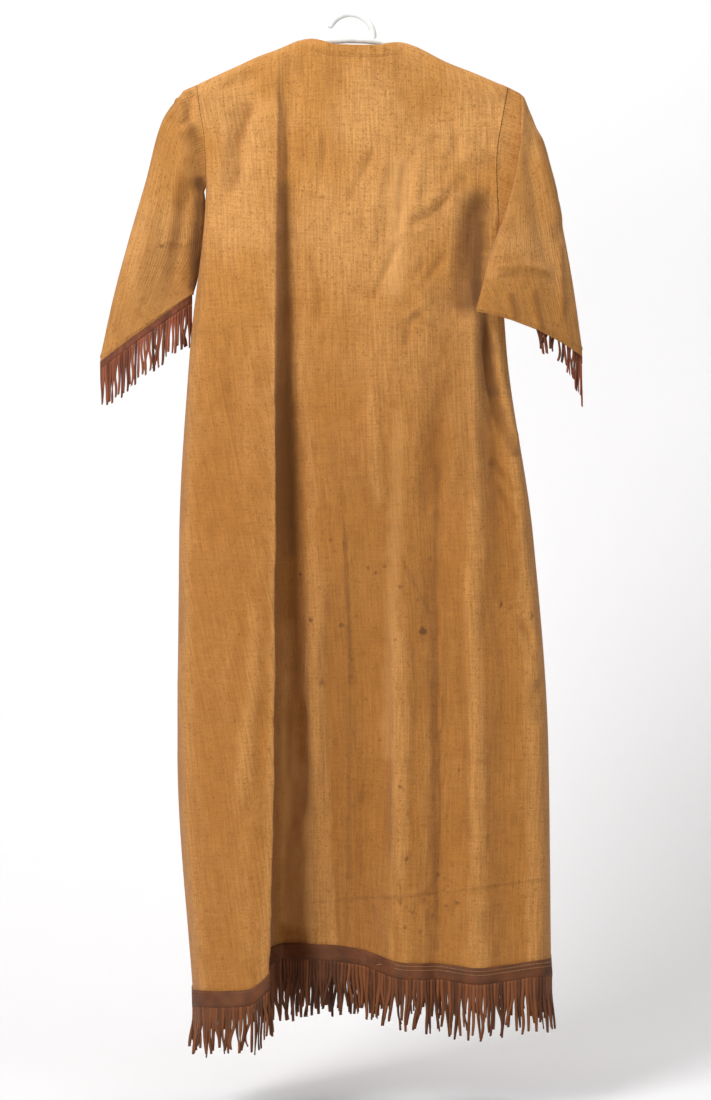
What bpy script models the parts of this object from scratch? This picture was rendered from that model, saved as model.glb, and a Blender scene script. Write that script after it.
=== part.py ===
"""A fringed canvas dress on a plain hanger, seen from its back.

X runs to the viewer's right, +Y away from the viewer, so the back of the dress faces -Y, and Z is up.
The origin is the inside top of the hanger's hook. Tables are in millimetres, meshes in metres.
"""

import math
import random
from collections import namedtuple

import bmesh
import bpy
from mathutils import Vector

MM = 0.001

# Cloth and leather
WALL = 1.6
LEATHER = 1.8
SEAM_GAP = 1.0
ARMHOLE_GAP = 0.9
UNDERARM_GAP = 1.9
SHOULDER_GAP = 0.4

# Heights of the sections that every fold line crosses, below the origin
SHOULDER_Z = -106.0
UNDERARM_LEFT_Z = -202.0
UNDERARM_RIGHT_Z = -250.0
WAIST_Z = -400.0
HIP_Z = -620.0
KNEE_Z = -877.0
HEM_UNDER_BAND = 14.0

# Shoulder and armhole shape
SHOULDER_ROUND = 16.0
ARMHOLE_DEPTH = 12.0
ARMHOLE_SQUARE = 0.35
SIDE_X = 180.0

# Mesh rows in each stretch between sections, as fractions of the stretch
ROWS = (
    (0.0, 0.02, 0.1, 0.3, 0.6),
    (0.0, 0.5),
    (0.0, 0.5, 0.8, 0.95),
    (0.0, 0.2, 0.45, 0.72),
    (0.0, 0.25, 0.5, 0.75),
    (0.0, 0.25, 0.5, 0.75),
    (0.0, 0.3, 0.6, 0.85),
    (0.0, 1.0),
)
ARMHOLE_ROWS = len(ROWS[0]) + len(ROWS[1]) + len(ROWS[2]) + 1

# Hanger
TUBE_RADIUS = 4.0
HOOK_RADIUS = 27.5
HOOK_START = 8
HOOK_END = 150
ARM_GAP = 0.6
ARM_DROP = WALL / 2 + ARM_GAP + TUBE_RADIUS

# Fringe
BAND_HEIGHT = 20.0
BAND_FLARE = 2.0
BAND_GAP = 1.15
CUFF_BAND_HEIGHT = 10.0
CUFF_GAP = 0.7
STRAND_SHARE = 0.66
HEM_STRAND_LENGTH = 52.0
CUFF_STRAND_LENGTH = 54.0
BACK_STRANDS = 86
FRONT_STRANDS = 58
LEFT_CUFF_STRANDS = 26
RIGHT_CUFF_STRANDS = 16
LEFT_CUFF_FRINGED = 0.97
RIGHT_CUFF_FRINGED = 0.55

# A fold line runs from the top edge to the hem. x and y are read at the top edge, shoulder, mid armhole,
# underarm, waist, hip, knee and hem. top and hem are its heights there. folded is 1 where the panel is
# turned over the hanger and 0 at the open neck. steps is how many mesh columns lead to it.
Fold = namedtuple("Fold", "name steps folded top hem x y")

BACK_FOLDS = (
    Fold("left seam", 0, 1, -82, -1160,
         (-184, -181, -174, -173, -192, -204, -205, -186), (0, 0, 0, 0, -1, -14, -34, -48)),
    Fold("left turn", 3, 1, -77, -1155,
         (-174, -173, -167, -166, -183, -194, -195, -176), (-9, -14, -15, -12, -22, -42, -66, -86)),
    Fold("left groove", 2, 1, -60, -1152,
         (-137, -137, -141, -144, -150, -157, -160, -147), (-9, -13, -17, -20, -34, -57, -86, -108)),
    Fold("left face", 2, 1, -46, -1148,
         (-106, -106, -109, -111, -115, -116, -115, -116), (-9, -17, -25, -30, -46, -68, -97, -119)),
    Fold("crest", 2, 1, -40, -1129,
         (-89, -89, -89, -89, -90, -89, -89, -95), (-9, -18, -27, -32, -48, -68, -94, -114)),
    Fold("tuck", 2, 1, -37, -1116,
         (-82, -83, -83, -84, -87, -93, -97, -102), (-9, -12, -18, -21, -29, -39, -52, -62)),
    Fold("valley", 2, 1, -34, -1111,
         (-75, -76, -76, -76, -73, -73, -77, -82), (-9, -8, -10, -12, -15, -14, -8, -3)),
    Fold("left neck ridge", 3, 1, -28, -1108,
         (-61, -60, -60, -60, -58, -43, -39, -30), (-9, -11, -14, -17, -23, -29, -34, -34)),
    Fold("left crease", 3, 0, -35, -1115,
         (-20, -20, -18, -18, -15, -3, 14, 15), (-14, -13, -18, -22, -28, -34, -31, -29)),
    Fold("centre", 3, 0, -36, -1126,
         (36, 41, 44, 46, 48, 55, 63, 63), (-14, -15, -21, -26, -35, -46, -56, -62)),
    Fold("right neck", 3, 1, -33, -1127,
         (73, 75, 76, 77, 76, 78, 87, 83), (-9, -13, -18, -24, -33, -44, -54, -59)),
    Fold("right crease", 2, 1, -55, -1128,
         (116, 119, 119, 118, 107, 102, 108, 102), (-9, -10, -14, -19, -28, -38, -46, -50)),
    Fold("right ridge", 2, 1, -68, -1132,
         (149, 149, 145, 143, 145, 146, 151, 150), (-9, -10, -11, -13, -28, -45, -56, -64)),
    Fold("right groove", 2, 1, -74, -1130,
         (163, 163, 159, 159, 165, 178, 184, 184), (-9, -10, -9, -7, -9, -30, -46, -52)),
    Fold("right strip", 2, 1, -80, -1125,
         (177, 176, 165, 168, 179, 207, 223, 224), (-9, -10, -9, -5, -9, -26, -42, -46)),
    Fold("right seam", 3, 1, -85, -1126,
         (189, 185, 175, 178, 187, 218, 236, 239), (0, 0, 0, 0, 3, -4, -14, -16)),
)

FRONT_FOLDS = (
    Fold("left seam", 0, 1, -82, -1160,
         (-184, -181, -174, -173, -192, -204, -205, -186), (0, 0, 0, 0, -1, -14, -34, -48)),
    Fold("left turn", 3, 1, -77, -1156,
         (-174, -173, -167, -166, -184, -196, -199, -184), (9, 13, 14, 12, 20, 12, -4, -14)),
    Fold("left ridge", 3, 1, -51, -1146,
         (-118, -118, -118, -120, -128, -134, -138, -132), (9, 14, 20, 24, 36, 42, 46, 48)),
    Fold("left neck", 3, 1, -28, -1136,
         (-61, -61, -62, -63, -70, -76, -80, -78), (9, 12, 17, 20, 26, 26, 22, 20)),
    Fold("inner ridge", 3, 0, -68, -1132,
         (-32, -28, -26, -26, -28, -31, -34, -34), (14, 16, 22, 27, 38, 47, 55, 60)),
    Fold("centre valley", 2, 0, -82, -1129,
         (6, 8, 10, 12, 13, 12, 10, 10), (15, 17, 22, 26, 34, 37, 38, 38)),
    Fold("outer ridge", 2, 0, -70, -1128,
         (44, 45, 47, 50, 55, 60, 62, 60), (14, 16, 23, 28, 41, 54, 64, 70)),
    Fold("right neck", 4, 1, -33, -1128,
         (73, 73, 76, 80, 92, 104, 112, 110), (9, 12, 17, 20, 28, 35, 40, 42)),
    Fold("right ridge", 3, 1, -55, -1128,
         (116, 119, 122, 126, 140, 158, 172, 172), (9, 13, 18, 22, 35, 51, 61, 66)),
    Fold("right turn", 3, 1, -80, -1127,
         (177, 176, 166, 169, 182, 209, 224, 226), (9, 10, 12, 12, 24, 28, 28, 30)),
    Fold("right seam", 2, 1, -85, -1126,
         (189, 185, 175, 178, 187, 218, 236, 239), (0, 0, 0, 0, 3, -4, -14, -16)),
)

# A sleeve ring lies between an outer point (ox, oz, oy) and an inner point (ix, iz, iy). near and far are
# its depths towards and away from the viewer, and the bows move its middle towards the shoulder. at is
# the ring's place along the sleeve.
Ring = namedtuple("Ring", "at ox oz oy ix iz iy near far near_bow far_bow")

LEFT_RINGS = (
    Ring(0.05, -200, -89, 0, -177, -210, 4, 14, 13, 0, 0),
    Ring(0.16, -225, -124, 0, -175, -230, 11, 16, 15, -2, 0),
    Ring(0.38, -245, -196, 1, -177.5, -261, 14, 18, 18, -2, 0),
    Ring(0.60, -266, -268, 2, -181, -288, 14, 19, 19, -1, 0),
    Ring(0.81, -285, -340, 2, -184.5, -312, 13, 18, 19, 0, 1),
    Ring(1.00, -301, -414, 2, -190, -333, 6, 16, 18, 0, 3),
)

RIGHT_RINGS = (
    Ring(0.05, 202, -91.5, 0, 182, -253.5, -3, 7, 13, -12, 0),
    Ring(0.10, 207, -96, 0, 180, -255, -6, 17, 14, -7, 0),
    Ring(0.18, 214, -113, 0, 177, -263, -12, 17, 14, -3, 0),
    Ring(0.40, 232, -160, 0, 169, -280, -22, 16, 13, 0, 0),
    Ring(0.60, 250, -232, 2, 163, -302, -32, 14, 13, 0, 0),
    Ring(0.80, 266, -316, 4, 156, -330, -40, 13, 12, 2, 16),
    Ring(1.00, 279, -407, 5, 149, -357, -45, 12, 11, 7, 44),
)

SLEEVE_STATIONS = (0.07, 0.1, 0.16, 0.26, 0.38, 0.5, 0.62, 0.74, 0.87, 1.0)

# The shoulder line, left sleeve head to right sleeve head, that the hanger's arms lie under
SHOULDER_LINE = (
    (-190, -86.5), (-184, -82), (-174, -77), (-137, -60), (-106, -46), (-89, -40), (-75, -34), (-61, -28.5),
    (-34, -24.5), (0, -22), (30, -23.5), (52, -28.5), (73, -34), (116, -55), (149, -68), (177, -80), (189, -85),
    (195, -90),
)


def smooth_through(knots, values, ends=(None, None)):
    """A smooth curve through the values that never swings past them."""
    spans = [b - a for a, b in zip(knots, knots[1:])]
    rises = [(b - a) / span for a, b, span in zip(values, values[1:], spans)]
    slopes = [rises[0]]
    for (before, after), (left, right) in zip(zip(rises, rises[1:]), zip(spans, spans[1:])):
        if before * after <= 0:
            slopes.append(0.0)
        else:
            heavy, light = 2 * right + left, right + 2 * left
            slopes.append((heavy + light) / (heavy / before + light / after))
    slopes.append(rises[-1])
    for index, end in zip((0, -1), ends):
        if end is not None:
            slopes[index] = end

    def value_at(knot):
        index = 0
        while index < len(spans) - 1 and knot > knots[index + 1]:
            index += 1
        t = (knot - knots[index]) / spans[index]
        if t > 1:
            return values[index + 1] + slopes[index + 1] * (knot - knots[index + 1])
        rise, fall = t * t * (3 - 2 * t), 1 - t * t * (3 - 2 * t)
        return (values[index] * fall + values[index + 1] * rise
                + spans[index] * t * (1 - t) * ((1 - t) * slopes[index] - t * slopes[index + 1]))

    return value_at


def mix(a, b, t):
    """The value a share t of the way from a to b."""
    return a + (b - a) * t


def underarm_z(x):
    """The height of the underarm section at x, which is lower on the right."""
    return mix(UNDERARM_LEFT_Z, UNDERARM_RIGHT_Z, (x + SIDE_X) / (2 * SIDE_X))


def armhole_depth(share):
    """How far the armhole stands open at a share of its height."""
    return ARMHOLE_DEPTH * max(4 * share * (1 - share), 0.0) ** ARMHOLE_SQUARE


# The height of the shoulder line at x
shoulder_z = smooth_through([point[0] for point in SHOULDER_LINE], [point[1] for point in SHOULDER_LINE])


def shoulder_rounding(x, z):
    """0 on the shoulder line, and 1 where the cloth hangs clear of its turn over the hanger."""
    below = shoulder_z(x) - z
    return math.sqrt(max(0.0, 1 - max(0.0, 1 - below / SHOULDER_ROUND) ** 2))


class Panel:
    """One body panel: fold lines from the top edge to the hem, joined by a smooth wall."""

    def __init__(self, folds, side):
        self.folds = folds
        self.side = side
        self.lines = []
        for fold in folds:
            under = UNDERARM_LEFT_Z if fold.name == "left seam" else underarm_z(fold.x[3])
            under = UNDERARM_RIGHT_Z if fold.name == "right seam" else under
            heights = (fold.top, SHOULDER_Z, (SHOULDER_Z + under) / 2, under, WAIST_Z, HIP_Z, KNEE_Z, fold.hem)
            drops = [-z for z in heights]
            self.lines.append((heights, smooth_through(drops, fold.x), smooth_through(drops, fold.y)))
        self.rows = self.grid()

    def line_point(self, number, level):
        """A point of one fold line, with level counted in sections from the top edge."""
        fold = self.folds[number]
        heights, x_at, y_at = self.lines[number]
        whole = min(int(level), len(heights) - 1)
        if whole < len(heights) - 1:
            z = mix(heights[whole], heights[whole + 1], level - whole)
        else:
            z = heights[-1] - HEM_UNDER_BAND * (level - whole)
        x, y = x_at(-z), y_at(-z)
        if number in (0, len(self.folds) - 1):
            share = min((fold.top - z) / (fold.top - heights[3]), 1.0)
            y += self.side * SEAM_GAP / 2
            if share < 1:
                rounding = max(shoulder_rounding(x, z), SHOULDER_GAP / ARMHOLE_DEPTH)
                y = self.side * armhole_depth(share) / rounding
        return x, y, z

    def row(self, level):
        """A function from 0 to 1 along the row at a level, and the fold lines' places on it."""
        points = [self.line_point(number, level) for number in range(len(self.folds))]
        knots = [0.0]
        for a, b in zip(points, points[1:]):
            knots.append(knots[-1] + math.hypot(b[0] - a[0], b[1] - a[1]))
        knots = [knot / knots[-1] for knot in knots]
        ends = (0.0, 0.0) if level >= 3 else (None, None)
        curves = [
            smooth_through(knots, [point[axis] for point in points], ends if axis == 0 else (None, None))
            for axis in range(3)
        ]
        return (lambda along: Vector(curve(along) for curve in curves)), knots

    def grid(self):
        """Rows of points for the mesh. The top rows follow the shoulder line where the panel is folded."""
        top_at, top_knots = self.row(0)
        rows = []
        for section, fractions in enumerate(ROWS):
            for fraction in fractions:
                at, knots = self.row(section + fraction)
                row = []
                for number, fold in enumerate(self.folds[1:], 1):
                    before = self.folds[number - 1]
                    for step in range(0 if number == 1 else 1, fold.steps + 1):
                        share = step / fold.steps
                        point = at(mix(knots[number - 1], knots[number], share))
                        if section == 0:
                            top = top_at(mix(top_knots[number - 1], top_knots[number], share))
                            lift = shoulder_z(top.x) - top.z
                            point.z += lift * (1 - fraction) * mix(before.folded, fold.folded, share)
                        rounding = shoulder_rounding(point.x, point.z)
                        point.y = mix(self.side * SHOULDER_GAP, point.y, rounding)
                        row.append(point)
                rows.append(row)
        return rows

    def band(self, along, below, out):
        """A point of the hem band: this far below the band's top, moved out from the wall's own points."""
        upper, lower = self.rows[-2:]
        last = len(upper) - 1
        index = min(int(along * last), last - 1)
        share = along * last - index
        corners = []
        for place in (index, index + 1):
            across = upper[min(place + 1, last)] - upper[max(place - 1, 0)]
            down = lower[place] - upper[place]
            normal = across.cross(down).normalized() * self.side
            corners.append(upper[place] + down * (below / HEM_UNDER_BAND) + normal * out)
        return corners[0].lerp(corners[1], share)


def sleeve_rings(rings, edge, sign):
    """The sleeve as rings of points: the armhole ring from the panels' edge rows, then the table's."""
    top, under = edge[0][0], edge[0][-1]
    shares = [(top.z - point.z) / (top.z - under.z) for point in edge[0]]
    near_edge, far_edge = edge
    first = []
    for side in (near_edge, far_edge):
        ring_side = []
        for share, point in zip(shares, side):
            gap = mix(ARMHOLE_GAP, UNDERARM_GAP, max(0.0, (share - 0.7) / 0.3))
            ring_side.append(point + Vector((sign * gap, 0, 0)))
        first.append(ring_side)
    for end in (0, -1):
        middle = (first[0][end] + first[1][end]) / 2
        first[0][end] = first[1][end] = middle
    ats = [ring.at for ring in rings]
    columns = {name: smooth_through(ats, [getattr(ring, name) for ring in rings]) for name in Ring._fields[1:]}
    result = [first[0] + first[1][-2:0:-1]]
    for at in SLEEVE_STATIONS:
        here = {name: curve(at) for name, curve in columns.items()}
        result.append(sleeve_ring(here, shares))
    return result


def sleeve_point(here, share, side):
    """A point of a ring at a share of the way from its outer to its inner point."""
    outer = Vector((here["ox"], here["oy"], here["oz"]))
    inner = Vector((here["ix"], here["iy"], here["iz"]))
    run = inner - outer
    to_shoulder = Vector((run.z, 0, -run.x)).normalized()
    if to_shoulder.dot(Vector((0, 0, SHOULDER_Z)) - outer) < 0:
        to_shoulder = -to_shoulder
    bulge = max(4 * share * (1 - share), 0.0)
    depth, bow = (here["near"], here["near_bow"]) if side < 0 else (here["far"], here["far_bow"])
    point = outer + run * share + to_shoulder * bow * bulge
    point.y += side * depth * bulge ** ARMHOLE_SQUARE
    return point


def sleeve_ring(here, shares):
    """A whole ring, down its near side and back up its far side."""
    near = [sleeve_point(here, share, -1) for share in shares]
    far = [sleeve_point(here, share, 1) for share in shares]
    return near + far[-2:0:-1]


def material(name, color, roughness):
    """A plain material of one color."""
    made = bpy.data.materials.new(name)
    made.use_nodes = True
    shader = made.node_tree.nodes["Principled BSDF"]
    shader.inputs["Base Color"].default_value = (*color, 1)
    shader.inputs["Roughness"].default_value = roughness
    shader.inputs["Metallic"].default_value = 0
    return made


def add_object(name, bm, finish):
    """Makes a mesh in millimetres an object in metres."""
    bmesh.ops.scale(bm, vec=(MM, MM, MM), verts=bm.verts)
    mesh = bpy.data.meshes.new(name)
    bm.to_mesh(mesh)
    bm.free()
    mesh.shade_smooth()
    mesh.set_sharp_from_angle(angle=math.radians(50))
    mesh.materials.append(finish)
    made = bpy.data.objects.new(name, mesh)
    bpy.context.collection.objects.link(made)
    return made


def add_wall(made, thickness):
    """Gives a sheet its thickness, half to each side."""
    solid = made.modifiers.new("Wall", "SOLIDIFY")
    solid.thickness = thickness * MM
    solid.offset = 0
    solid.use_even_offset = False
    solid.use_rim = True


def cloth_sheet(name, rows, closed, finish, flip):
    """A wall through rows of points. closed joins each row's ends, as on a sleeve."""
    bm = bmesh.new()
    grid = [[bm.verts.new(point) for point in row] for row in rows]
    for upper, lower in zip(grid, grid[1:]):
        count = len(upper) if closed else len(upper) - 1
        for index in range(count):
            beside = (index + 1) % len(upper)
            corners = [upper[index], lower[index], lower[beside], upper[beside]]
            bm.faces.new(corners[::-1] if flip else corners)
    made = add_object(name, bm, finish)
    add_wall(made, WALL)
    return made


def even_places(point_at, count, start, end):
    """Places along a curve that are an even distance apart."""
    samples = 400
    places = [mix(start, end, index / samples) for index in range(samples + 1)]
    points = [point_at(place) for place in places]
    lengths = [0.0]
    for a, b in zip(points, points[1:]):
        lengths.append(lengths[-1] + (b - a).length)
    result, index = [], 0
    for number in range(count + 1):
        wanted = lengths[-1] * number / count
        while index < samples - 1 and lengths[index + 1] < wanted:
            index += 1
        share = (wanted - lengths[index]) / (lengths[index + 1] - lengths[index])
        result.append(mix(places[index], places[index + 1], share))
    return result


def fringe(name, corner_at, strands, start, end, length, finish, seed, facing):
    """A leather band whose strands hang from its lower edge.

    corner_at(along, lower, outer) gives the band's corners, and each strand grows from one face of the
    band's lower edge, so that the band and its strands are one solid.
    """
    chance = random.Random(seed)
    pitches = even_places(lambda along: corner_at(along, True, True), strands, start, end)
    edges = []
    for left, right in zip(pitches, pitches[1:]):
        edges.append(left)
        edges.append(mix(left, right, STRAND_SHARE))
    edges.append(pitches[-1])
    bm = bmesh.new()
    corners = [
        [bm.verts.new(corner_at(along, lower, outer)) for lower, outer in
         ((False, False), (False, True), (True, True), (True, False))]
        for along in edges
    ]
    roots = []
    for number, (left, right) in enumerate(zip(corners, corners[1:])):
        for index in range(4):
            beside = (index + 1) % 4
            face = bm.faces.new((left[index], left[beside], right[beside], right[index]))
            if index == 2 and number % 2 == 0:
                roots.append(face)
    bm.faces.new(corners[0][::-1])
    bm.faces.new(corners[-1])
    bmesh.ops.recalc_face_normals(bm, faces=bm.faces)
    spread = 0.0
    for number, root in enumerate(roots):
        reach = length * chance.uniform(0.86, 1.04)
        spread = mix(spread, chance.uniform(-3.0, 3.0), 0.35)
        sway = chance.uniform(-0.8, 0.8)
        face = root
        for part, (drop, scale) in enumerate(((0.5, 0.86), (0.5, 0.6))):
            grown = bmesh.ops.extrude_discrete_faces(bm, faces=[face])["faces"][0]
            middle = grown.calc_center_median()
            move = Vector((sway * (1, -0.6)[part], spread * facing * 0.5, -reach * drop))
            for vert in grown.verts:
                flat = (vert.co - middle) * scale
                vert.co = middle + Vector((flat.x, flat.y, flat.z * 0.2)) + move
            face = grown
    return add_object(name, bm, finish)


def tube(name, points, radius):
    """A round tube through points, as a mesh object with closed ends."""
    curve = bpy.data.curves.new(name, "CURVE")
    curve.dimensions = "3D"
    curve.bevel_depth = radius * MM
    curve.bevel_resolution = 2
    curve.use_fill_caps = True
    spline = curve.splines.new("POLY")
    spline.points.add(len(points) - 1)
    for place, point in zip(spline.points, points):
        place.co = (*(Vector(point) * MM), 1)
    holder = bpy.data.objects.new(name + " curve", curve)
    bpy.context.collection.objects.link(holder)
    evaluated = holder.evaluated_get(bpy.context.evaluated_depsgraph_get())
    mesh = bpy.data.meshes.new_from_object(evaluated)
    bpy.data.objects.remove(holder)
    made = bpy.data.objects.new(name, mesh)
    bpy.context.collection.objects.link(made)
    return made


def build_hanger(finish):
    """Arms under the shoulder line, and a hook that rises from their middle, moulded in one."""
    arm_points = [(x, 0, z - ARM_DROP) for x, z in SHOULDER_LINE]
    arms = tube("hanger", arm_points, TUBE_RADIUS)
    right = HOOK_RADIUS
    hook_points = [(right, 0, shoulder_z(right) - ARM_DROP)]
    steps = 16
    for step in range(steps + 1):
        angle = math.radians(mix(HOOK_START, HOOK_END, step / steps))
        hook_points.append((right * math.cos(angle), 0, TUBE_RADIUS - HOOK_RADIUS + right * math.sin(angle)))
    hook = tube("hook", hook_points, TUBE_RADIUS)
    union = arms.modifiers.new("Moulded in one", "BOOLEAN")
    union.operation = "UNION"
    union.object = hook
    hook.hide_render = True
    hook.display_type = "WIRE"
    arms.data.materials.clear()
    arms.data.materials.append(finish)
    return arms


def build_hem_fringe(name, panel, strands, finish, seed):
    """The band lies on the outside of the wall, over its hem."""
    lift = WALL / 2 + BAND_GAP

    def corner(along, lower, outer):
        below = BAND_HEIGHT if lower else 0.0
        flare = BAND_FLARE if lower else 0.0
        return panel.band(along, below, lift + flare * 0.5 + (LEATHER if outer else 0.0))

    return fringe(name, corner, strands, 0.012, 0.988, HEM_STRAND_LENGTH, finish, seed, -panel.side)


def build_cuff_fringe(name, cuff, side, strands, end, finish, seed):
    """The band hangs from one half of the cuff's own ring of points, as far as end."""
    half = len(cuff) // 2
    line = cuff[:half + 1] if side < 0 else cuff[:1] + cuff[:half - 1:-1]
    outer_end, inner_end = line[0], line[-1]
    shares = [(point.x - outer_end.x) / (inner_end.x - outer_end.x) for point in line]

    def corner(along, lower, outer):
        index = 0
        while index < half - 1 and along > shares[index + 1]:
            index += 1
        point = line[index].lerp(line[index + 1], (along - shares[index]) / (shares[index + 1] - shares[index]))
        if not outer:
            point.y -= side * LEATHER * max(4 * along * (1 - along), 0.0) ** ARMHOLE_SQUARE
        point.z -= CUFF_GAP + (CUFF_BAND_HEIGHT if lower else 0.0)
        return point

    return fringe(name, corner, strands, 0.03, end, CUFF_STRAND_LENGTH, finish, seed, side)


def main():
    for made in list(bpy.data.objects):
        bpy.data.objects.remove(made)
    canvas = material("canvas", (0.40, 0.21, 0.07), 0.9)
    leather = material("leather", (0.10, 0.035, 0.015), 0.75)
    plastic = material("white_plastic", (0.85, 0.85, 0.83), 0.4)

    back, front = Panel(BACK_FOLDS, -1), Panel(FRONT_FOLDS, 1)
    cloth_sheet("back_panel", back.rows, False, canvas, False)
    cloth_sheet("front_panel", front.rows, False, canvas, True)
    cuffs = {}
    for name, table, column, sign in (
        ("sleeve_left", LEFT_RINGS, 0, -1), ("sleeve_right", RIGHT_RINGS, -1, 1),
    ):
        edge = [[row[column].copy() for row in rows[:ARMHOLE_ROWS]] for rows in (back.rows, front.rows)]
        rings = sleeve_rings(table, edge, sign)
        cloth_sheet(name, rings, True, canvas, sign < 0)
        cuffs[name] = rings[-1]

    build_hanger(plastic)
    build_hem_fringe("hem_fringe_back", back, BACK_STRANDS, leather, 3)
    build_hem_fringe("hem_fringe_front", front, FRONT_STRANDS, leather, 5)
    build_cuff_fringe(
        "cuff_fringe_left", cuffs["sleeve_left"], -1, LEFT_CUFF_STRANDS, LEFT_CUFF_FRINGED, leather, 7)
    build_cuff_fringe(
        "cuff_fringe_right", cuffs["sleeve_right"], 1, RIGHT_CUFF_STRANDS, RIGHT_CUFF_FRINGED, leather, 11)


main()
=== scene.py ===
"""The looks of a fringed canvas dress on a white hanger, seen from its back.

X runs to the viewer's right, +Y away from the viewer and Z up. The origin is the inside top of the hanger's
hook. Tables and sizes are in millimetres, and each mesh is scaled to metres when it is finished.
"""

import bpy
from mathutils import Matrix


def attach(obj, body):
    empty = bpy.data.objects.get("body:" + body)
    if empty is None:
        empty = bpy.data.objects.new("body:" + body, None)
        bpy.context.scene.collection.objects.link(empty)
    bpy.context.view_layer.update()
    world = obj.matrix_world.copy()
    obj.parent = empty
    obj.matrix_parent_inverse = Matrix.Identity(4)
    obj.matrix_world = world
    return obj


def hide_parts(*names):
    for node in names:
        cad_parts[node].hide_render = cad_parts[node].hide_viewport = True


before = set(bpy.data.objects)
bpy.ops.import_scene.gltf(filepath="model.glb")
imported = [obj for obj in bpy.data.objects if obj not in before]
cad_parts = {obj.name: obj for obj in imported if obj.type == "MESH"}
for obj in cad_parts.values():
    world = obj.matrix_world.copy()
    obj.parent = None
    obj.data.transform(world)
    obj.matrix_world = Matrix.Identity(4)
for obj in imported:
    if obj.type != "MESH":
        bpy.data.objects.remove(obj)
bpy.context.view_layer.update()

import logging
import math
import random
from collections.abc import Callable, Sequence
from dataclasses import dataclass, field
from enum import Enum

import bmesh
import bpy
from mathutils import Matrix, Vector, noise

logger = logging.getLogger("dress")

MM = 0.001

# Heights of the sections that every fold line crosses
SHOULDER_Z = -106.0
UNDERARM_LEFT_Z = -202.0
UNDERARM_RIGHT_Z = -250.0
WAIST_Z = -400.0
HIP_Z = -620.0
KNEE_Z = -877.0
HALF_SHOULDER_SPAN = 180.0

# Which of those sections are the underarm and the hem, counted down from the top edge
UNDERARM_LEVEL = 3
HEM_LEVEL = 7

# How the cloth turns over the hanger and how far the armholes stand open
SHOULDER_ROUND = 16.0
SHOULDER_GAP = 0.4
ARMHOLE_DEPTH = 12.0
ARMHOLE_SQUARE = 0.35
SEAM_GAP = 0.5

CLOTH_THICKNESS = 1.3
LEATHER_THICKNESS = 1.5

# A wave texture has one band to this share of its scale
WAVE_TURN = math.tau / 20

SHOULDER_LINE = (
    (-190, -86.5), (-184, -82), (-174, -77), (-137, -60), (-106, -46), (-89, -40), (-75, -34),
    (-61, -28.5), (-34, -24.5), (0, -22), (30, -23.5), (52, -28.5), (73, -34), (116, -55),
    (149, -68), (177, -80), (189, -85), (195, -90),
)


class Side(Enum):
    """Which way a wall of the dress faces."""

    BACK = -1
    FRONT = 1


class CreaseKind(Enum):
    """The cross-section of a crease."""

    VALLEY = "valley"
    RIDGE = "ridge"
    TURN = "turn"


@dataclass(frozen=True)
class FoldLine:
    """A large fold, read at the top edge, shoulder, mid armhole, underarm, waist, hip, knee and hem."""

    name: str
    folded: int
    top: float
    hem: float
    x: tuple[float, ...]
    y: tuple[float, ...]


@dataclass(frozen=True)
class SleeveRing:
    """One ring of a sleeve, from its outer point (ox, oz, oy) to its inner point (ix, iz, iy)."""

    at: float
    ox: float
    oz: float
    oy: float
    ix: float
    iz: float
    iy: float
    near: float
    far: float
    near_bow: float
    far_bow: float


@dataclass(frozen=True)
class Crease:
    """A crease through points (x, z), with its half width and its height at the middle."""

    name: str
    kind: CreaseKind
    width: float
    height: float
    points: tuple[tuple[float, float], ...]


@dataclass(frozen=True)
class Spot:
    """A round stained spot on the cloth."""

    x: float
    z: float
    radius: float
    strength: float


@dataclass(frozen=True)
class Streak:
    """A soft darker or lighter mark from one point of the cloth to another; most dark ones are painted shadow
    and painted shade, and most light ones painted light.
    """

    x: float
    z: float
    end_x: float
    end_z: float
    radius: float
    strength: float


VALLEY, RIDGE, TURN = CreaseKind.VALLEY, CreaseKind.RIDGE, CreaseKind.TURN

THREAD_COLORS = {
    "tan": (0.30, 0.13, 0.035, 1),
    "dark": (0.06, 0.022, 0.008, 1),
    "brown": (0.15, 0.055, 0.018, 1),
    "pale": (0.46, 0.27, 0.11, 1),
}

# The side seams, which the back and the front share
LEFT_SEAM = FoldLine("left seam", 1, -82, -1160,
                     (-184, -181, -174, -173, -192, -204, -205, -186), (0, 0, 0, 0, -1, -14, -34, -48))
RIGHT_SEAM = FoldLine("right seam", 1, -85, -1126,
                      (189, 185, 175, 178, 187, 218, 236, 239), (0, 0, 0, 0, 3, -4, -14, -16))

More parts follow.
